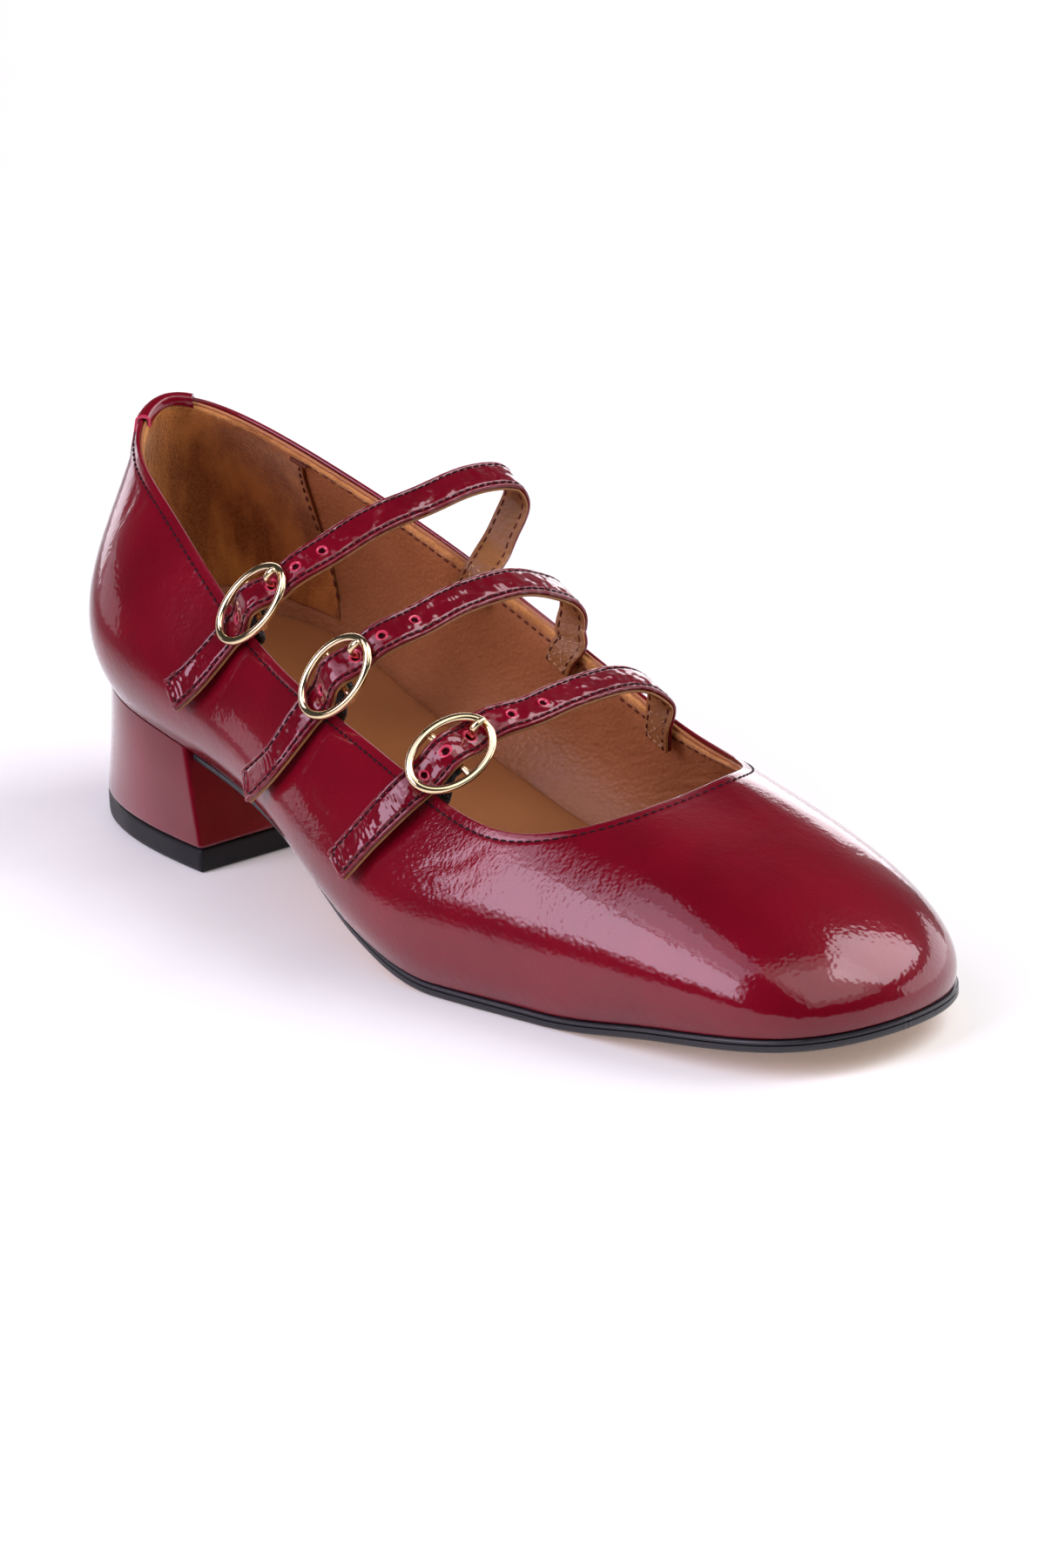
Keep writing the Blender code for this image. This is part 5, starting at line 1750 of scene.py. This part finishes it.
    def band(self, run: Run, top: float, low: float, half: float, columns: int, relief: bool) -> Sheet:
        """Carry a flat section with rounded sides along a path.

        Args:
            run: The strap's path.
            top: Height of the face over the path's middle line.
            low: Height of the back.
            half: Half width.
            columns: Points across the face.
            relief: Whether the face has its crown, stitches' grooves and holes.

        Returns:
            The closed band, with the marks raw and hole.
        """
        place, curve, width, outward = run
        flat, curl = half - self.side_round, self.side_round
        side = np.linspace(-flat, flat, columns)
        turn = np.linspace(math.pi / 2, -math.pi / 2, 7)[1:-1]
        rise, middle = (top - low) / 2, (top + low) / 2
        a = np.concatenate([side, flat + curl * np.cos(turn),
                            side[::-4], -flat - curl * np.cos(turn[::-1])])
        b = np.concatenate([np.full(columns, top), middle + rise * np.sin(turn),
                            np.full(len(side[::-4]), low), middle + rise * np.sin(turn[::-1])])
        up = np.broadcast_to(b, (len(place), len(b))).copy()
        raw, hole = np.zeros_like(up), np.full_like(up, 0.004)
        if relief:
            lift, nearest = self.top_relief(place, side)
            up[:, :columns] += lift
            edge = lift[:, :1].mean()
            up[:, columns:columns + 5] += edge * (0.5 + 0.5 * np.sin(turn))
            up[:, -5:] += edge * (0.5 + 0.5 * np.sin(turn[::-1]))
            hole[:, :columns] = nearest
            raw = np.maximum(raw, (place > place[-1] - 0.00015)[:, None] * 0.6)
        ends = np.minimum(place - place[0], place[-1] - place)
        tuck = np.clip(1.0 - ends / 0.0005, 0.0, 1.0) ** 2
        a = a[None] * (1.0 - 0.04 * tuck[:, None])
        up = middle + (up - middle) * (1.0 - 0.35 * tuck[:, None])
        rings = curve[:, None] + width[:, None] * a[..., None] + outward[:, None] * up[..., None]
        return Sheet.tube(rings, {"raw": raw, "hole": hole})

    def sew(self, run: Run) -> Sheet:
        """Sew along both sides of the strap and across the end of its tail.

        Args:
            run: The strap's path.

        Returns:
            The stitches.
        """
        place, curve, width, outward = run
        half = self.width / 2 - self.seam_inset
        top = self.thickness / 2 - 0.00022
        keep = (place > place[0] + 0.004) & (place < place[-1] - 0.0014)
        rows = []
        for side in (-half, half):
            line = curve + width * side + outward * top
            rows.append(stitch_line(line[keep], outward[keep], self.face_seam))
        last = np.flatnonzero(keep)[-1]
        share = np.linspace(-half, half, 30)[:, None]
        across = curve[last] + width[last] * share + outward[last] * (top + 0.00008)
        rows.append(stitch_line(across, np.broadcast_to(outward[last], across.shape), self.face_seam))
        return Sheet.join(rows)

    def sew_back(self, run: Run) -> Sheet:
        """Sew the two rows that show on the strap's back, short of the buckle.

        Args:
            run: The strap's path.

        Returns:
            The stitches.
        """
        place, curve, width, outward = run
        keep = place < -self.back_shown
        half = self.width / 2 - self.seam_inset
        face = curve - outward * (self.thickness / 2 + 0.00006)
        return Sheet.join([stitch_line((face + width * side)[keep], -outward[keep], self.back_seam)
                           for side in (-half, half)])

    def sew_end(self, run: Run) -> Sheet:
        """Sew the strap's end inside the quarter: a box with a cross, on the face that shows.

        Args:
            run: The strap's path.

        Returns:
            The stitches.
        """
        place, curve, width, outward = run
        half = self.width / 2 - 0.0011
        steps = np.linspace(0.0, 1.0, 40)
        low, high = place[0] + 0.0010, place[0] + 0.0072
        corners = ((low, -half), (high, -half), (high, half), (low, half))
        pairs = [(0, 1), (1, 2), (2, 3), (3, 0), (0, 2), (1, 3)]
        rows = []
        facing = np.sign((curve[0] - np.array([curve[0][0], 0.0, curve[0][2]])) @ outward[0])
        for first, second in pairs:
            (s0, a0), (s1, a1) = corners[first], corners[second]
            s, a = s0 + (s1 - s0) * steps, a0 + (a1 - a0) * steps
            middle, beside = read_rows(s, place, curve), read_rows(s, place, width)
            out = -facing * read_rows(s, place, outward)
            line = middle + beside * a[:, None] + out * (self.thickness / 2 + 0.00004)
            rows.append(stitch_line(line, out, self.end_seam))
        return Sheet.join(rows)

    def ring(self) -> Sheet:
        """Make the oval ring and the bar under the strap.

        The ring's section is a rounded oval 0.92 of its width high, carried round an ellipse. The bar
        is a rod that widens at its ends by the power of six of the share.

        Returns:
            The ring and the bar.
        """
        middle, along, across, outward = self.ring_frame()
        turn = np.arange(120) * 2 * math.pi / 120
        half_long, half_wide = (self.ring_length - self.wire) / 2, (self.ring_width - self.wire) / 2
        path = (np.cos(turn)[:, None] * along * half_long + np.sin(turn)[:, None] * across * half_wide)
        tangent = unit(np.cos(turn)[:, None] * across * half_wide
                       - np.sin(turn)[:, None] * along * half_long)
        side = np.cross(tangent, outward)
        around = np.arange(22) * 2 * math.pi / 22
        grid = (middle + path[:, None] + side[:, None] * (np.cos(around) * self.wire / 2)[None, :, None]
                + outward * (np.sin(around) * self.wire / 2 * 0.92)[None, :, None])
        share = np.linspace(-1.0, 1.0, 15)
        spot = middle - outward * self.bar_drop + across * (share * half_wide)[:, None]
        circle = np.arange(14) * 2 * math.pi / 14
        size = self.bar / 2 * (1.0 + 0.25 * np.abs(share) ** 6)
        rod = (spot[:, None] + along * (np.cos(circle)[None] * size[:, None])[..., None]
               + outward * (np.sin(circle)[None] * size[:, None])[..., None])
        return Sheet.join([Sheet.torus(grid), Sheet.tube(rod)])

    def prong(self) -> Sheet:
        """Make the prong: a rod from the bar up through its hole and onto the ring, rounded at its tip.

        Returns:
            The prong.
        """
        middle, along, across, outward = self.ring_frame()
        rim = (self.ring_length - self.wire) / 2
        beside = self.bar / 2 + self.form.clearance + self.prong_thickness / 2
        on_rim = self.wire / 2 + self.form.clearance + self.prong_thickness / 2
        under, thick, place = self.under_rim(), self.prong_thickness, self.prong_hole_place
        below = -(under + self.thickness / 2 + self.form.clearance + thick / 2)
        spots = ((beside, -self.bar_drop - 0.60 * self.bar), (0.45 * (beside + place), 0.90 * below),
                 (place - 0.21 * thick, 0.86 * below), (place + 0.14 * thick, -under),
                 (place + 0.36 * thick, -0.2 * under), (place + 0.93 * thick, 0.75 * on_rim),
                 (0.5 * (place + rim) + 0.57 * thick, on_rim), (rim + 0.21 * thick, on_rim - 0.0001))
        start = middle - across * self.side
        points = np.array([start - along * back + outward * up for back, up in spots])
        places = np.linspace(0.0, chord_places(points)[-1], 60)
        path = open_spline(points, places)
        tangent = unit(np.gradient(path, axis=0))
        side = square_to(tangent, across)
        rise = np.cross(tangent, side)
        around = np.arange(16) * 2 * math.pi / 16
        end = np.clip((places[-1] - places) / (0.9 * thick), 0.0, 1.0)
        size = thick / 2 * np.sqrt(1.0 - (1.0 - end) ** 2 * 0.96)
        rings = (path[:, None] + side[:, None] * (np.cos(around)[None] * size[:, None] * 1.12)[..., None]
                 + rise[:, None] * (np.sin(around)[None] * size[:, None] * 0.9)[..., None])
        return Sheet.tube(rings)

    def elastic(self) -> Sheet:
        """Make the elastic: a flat ribbed section, from the bar down inside the quarter.

        Returns:
            The band, with the mark run.
        """
        form = self.form
        middle, along, across, outward = self.ring_frame()
        under_bar = self.bar_drop + self.bar / 2 + self.rim_room + self.elastic_thickness / 2
        inside = form.wall + form.clearance + self.band_room + self.elastic_thickness / 2
        loop = self.row.outer + self.elastic_back
        at_bar = middle - across * self.side
        points = [at_bar - outward * under_bar - along * self.bar / 2,
                  at_bar - outward * (under_bar + self.band_room) + along * 1.5 * self.bar]
        climbs = (1.0, self.elastic_high, self.elastic_low)
        points += [form.place(loop, climb, inside) for climb in climbs]
        ahead = form.ahead(loop, 0.9)
        knots = chord_places(np.array(points))
        places = np.linspace(0.0, knots[-1], 90)
        curve = open_spline(np.array(points), places)
        tangent = unit(np.gradient(curve, places, axis=0))
        spread = np.array([across, across, ahead, ahead, ahead])
        width = square_to(tangent, read_rows(places, knots, spread))
        rise = np.cross(tangent, width)
        half, deep = self.elastic_width / 2, self.elastic_thickness / 2
        side = np.linspace(-1.0, 1.0, 49)
        ribs = 1.0 - 0.22 * np.cos(side * math.pi * 8.0) ** 2
        shape = np.clip(1.0 - np.abs(side) ** 14, 0.05, 1.0) ** 0.5 * ribs
        a = np.concatenate([side * half, side[::-1] * half])
        b = np.concatenate([shape * deep, -shape[::-1] * deep])
        rings = curve[:, None] + width[:, None] * a[None, :, None] + rise[:, None] * b[None, :, None]
        run = np.zeros(rings.shape)
        run[..., 0], run[..., 1] = places[:, None], a
        return Sheet.tube(rings, {"run": run})

    def make(self, shop: Workshop) -> None:
        """Make every piece of the strap.

        Args:
            shop: Where the pieces are made.
        """
        number = self.row.number
        run = self.run()
        half = self.thickness / 2
        face = self.band(run, half, -half + 0.00062, self.width / 2 - 0.00010, 41, True)
        shop.piece(f"strap_face_{number}", face, Material.SHADED_STRAP_PATENT, [f"strap_{number}"])
        back = self.band(run, -half + 0.00064, -half, self.width / 2, 17, False)
        shop.piece(f"strap_back_{number}", back, Material.STRAP_BACK)
        shop.piece(f"strap_stitches_{number}", self.sew(run), Material.DARK_THREAD)
        shop.piece(f"strap_back_stitches_{number}", self.sew_back(run), Material.BROWN_THREAD)
        shop.piece(f"strap_end_stitches_{number}", self.sew_end(run), Material.TAN_THREAD)
        shop.piece(f"buckle_ring_{number}", self.ring(), Material.GOLD, [f"buckle_{number}"])
        shop.piece(f"buckle_prong_{number}", self.prong(), Material.GOLD, [f"prong_{number}"])
        shop.piece(f"buckle_elastic_{number}", self.elastic(), Material.ELASTIC, [f"elastic_{number}"])


# ---------------- the studio


@dataclass(frozen=True)
class SoftBox:
    """One square light.

    Attributes:
        name: The light's name.
        place: Where it stands, in metres from the middle of the shoe.
        size: Its width and height.
        power: Its power in watts.
        tint: Its colour.
    """

    name: str
    place: Colour
    size: Spot
    power: float
    tint: Colour = (1.0, 1.0, 1.0)

    def hang(self, target: Array) -> None:
        """Put the light in its place.

        Args:
            target: The point that it faces.
        """
        light = bpy.data.lights.new(self.name, "AREA")
        light.shape = "RECTANGLE"
        light.size, light.size_y = self.size
        light.energy = self.power
        light.color = self.tint
        lamp = bpy.data.objects.new(self.name, light)
        bpy.context.scene.collection.objects.link(lamp)
        back = unit(np.array(self.place) - target)
        right = unit(np.cross(UP, back))
        axes = np.stack([right, np.cross(back, right), back], axis=1)
        lamp.matrix_world = Matrix.Translation(self.place) @ Matrix(axes.tolist()).to_4x4()


@dataclass
class Studio:
    """White floor, soft boxes and the photograph's camera."""

    azimuth: float = 53.2
    height: float = 19.2
    roll: float = -2.66
    distance: float = 1.400
    lens: float = 7817.0 / 1800.0 * 36.0
    aim: Colour = (0.125, 0.0, 0.040)
    slide: Spot = (0.0059, -0.0116)
    paper: Spot = (0.755, 0.775)
    greener: float = 1.03
    glow: float = 0.13
    room: float = 0.05
    floor_reach: float = 6.0
    boxes: tuple[SoftBox, ...] = (
        SoftBox("key_core", (-0.200, -1.309, 0.704), (1.00, 0.80), 11.0, (1.0, 0.87, 1.12)),
        SoftBox("key_halo", (-0.180, -1.360, 0.760), (1.14, 1.10), 5.4, (1.0, 0.87, 1.12)),
        SoftBox("key_high", (-0.131, -0.872, 1.214), (0.88, 0.475), 3.4, (1.0, 0.87, 1.12)),
        SoftBox("key_top", (-0.096, -0.516, 1.405), (0.90, 0.342), 1.3, (1.0, 0.87, 1.12)),
        SoftBox("back_box", (0.53, 0.85, 1.14), (0.95, 0.90), 14.0, (1.0, 0.93, 1.0)),
        SoftBox("ceiling", (1.30, 0.10, 1.75), (2.20, 2.20), 15.0),
        SoftBox("ceiling_core", (1.20, 0.10, 1.65), (1.40, 1.40), 6.0),
        SoftBox("left_box", (-1.25, 0.95, 0.35), (1.40, 0.90), 12.0, (1.0, 0.94, 1.0)),
        SoftBox("heel_box", (-1.535, 0.240, 0.16), (0.95, 0.50), 3.6, (1.0, 0.94, 1.04)),
        SoftBox("side_box", (-1.416, -0.630, 0.165), (0.66, 0.43), 0.75, (1.0, 0.94, 1.04)),
        SoftBox("far_box", (0.60, 1.90, 0.40), (2.40, 0.80), 13.0, (1.0, 0.94, 1.0)),
    )
    # Painted shade: the floor's colour and glow fade to grey in this direction, between these two
    # distances
    shade_way: Colour = (-0.602, -0.799, 0.0)
    shade_span: Spot = (0.12, 0.34)

    def camera(self, shift: Array) -> None:
        """Set the camera at the photograph's viewing angle.

        Args:
            shift: The move from the plumb line behind the heel to the CAD's origin.
        """
        azimuth, height, roll = (math.radians(v) for v in (self.azimuth, self.height, self.roll))
        back = np.array([math.sin(azimuth) * math.cos(height), -math.cos(azimuth) * math.cos(height),
                         math.sin(height)])
        level = np.array([math.cos(azimuth), math.sin(azimuth), 0.0])
        lifted = np.cross(back, level)
        right = math.cos(roll) * level + math.sin(roll) * lifted
        up = -math.sin(roll) * level + math.cos(roll) * lifted
        spot = np.array(self.aim) + shift + back * self.distance
        spot += right * self.slide[0] + up * self.slide[1]
        data = bpy.data.cameras.new("photo_camera")
        data.lens, data.sensor_width, data.sensor_fit = self.lens, 36.0, "AUTO"
        data.clip_start, data.clip_end = 0.05, 50.0
        made = bpy.data.objects.new("photo_camera", data)
        made.matrix_world = (Matrix.Translation(spot.tolist())
                             @ Matrix(np.stack([right, up, back], axis=1).tolist()).to_4x4())
        bpy.context.scene.collection.objects.link(made)
        bpy.context.scene.camera = made

    def floor(self) -> None:
        """Lay the white floor, lit a little from below."""
        mesh = bpy.data.meshes.new("studio_floor")
        corners = [(x * self.floor_reach, y * self.floor_reach, -0.0001)
                   for x, y in ((-1, -1), (1, -1), (1, 1), (-1, 1))]
        mesh.from_pydata(corners, [], [(0, 1, 2, 3)])
        bench = NodeBench("white_paper")
        grain = bench.steps(bench.noise(30.0, bench.place(), 3.0), 0.3, 0.7, *self.paper)
        away = bench.add("VectorMath", {0: bench.add("TexCoord", {}, "Object"), 1: self.shade_way}, "Value",
                         operation="DOT_PRODUCT")
        # Painted shade: away from the shoe on one side the floor turns grey, in colour and in glow
        lit = bench.steps(away, *self.shade_span, 1.0, 0.10)
        shade = bench.maths("MULTIPLY", grain, lit)
        greener = bench.maths("MULTIPLY", shade, self.greener)
        paper = bench.add("CombineColor", {0: shade, 1: greener, 2: shade})
        mesh.materials.append(bench.shade({
            "Base Color": paper, "Roughness": 0.7, "Specular IOR Level": 0.2,
            "Emission Color": (1.0, 1.0, 1.0, 1.0),
            "Emission Strength": bench.maths("MULTIPLY", lit, self.glow),
        }))
        made = bpy.data.objects.new("studio_floor", mesh)
        bpy.context.scene.collection.objects.link(made)

    def light(self) -> None:
        """Hang the soft boxes in a pale room."""
        for box in self.boxes:
            box.hang(np.array([0.0, 0.0, 0.03]))
        world = bpy.data.worlds.new("pale_room")
        world.use_nodes = True
        sky = world.node_tree.nodes["Background"]
        sky.inputs["Color"].default_value = (1.0, 1.0, 1.0, 1.0)
        sky.inputs["Strength"].default_value = self.room
        bpy.context.scene.world = world
        bpy.context.scene.view_settings.view_transform = "Standard"
        bpy.context.scene.view_settings.look = "None"

    def set_up(self, shift: Array) -> None:
        """Lay the floor, hang the lights and set the camera."""
        self.floor()
        self.light()
        self.camera(shift)


def main() -> None:
    """Build the shoe, piece by piece, and its studio."""
    logging.basicConfig(level=logging.INFO, format="%(name)s %(message)s")
    form = ShoeForm()
    heel = Heel(form)
    shop = Workshop.over(heel)
    Studio().set_up(shop.shift)
    Upper(form).make(shop)
    underfoot = Underfoot(form)
    underfoot.sock(shop)
    underfoot.outsole(shop)
    heel.make(shop)
    BackTab(form).make(shop)
    for row in STRAP_ROWS:
        BuckledStrap(form, row).make(shop)


if __name__ == "__main__":
    main()
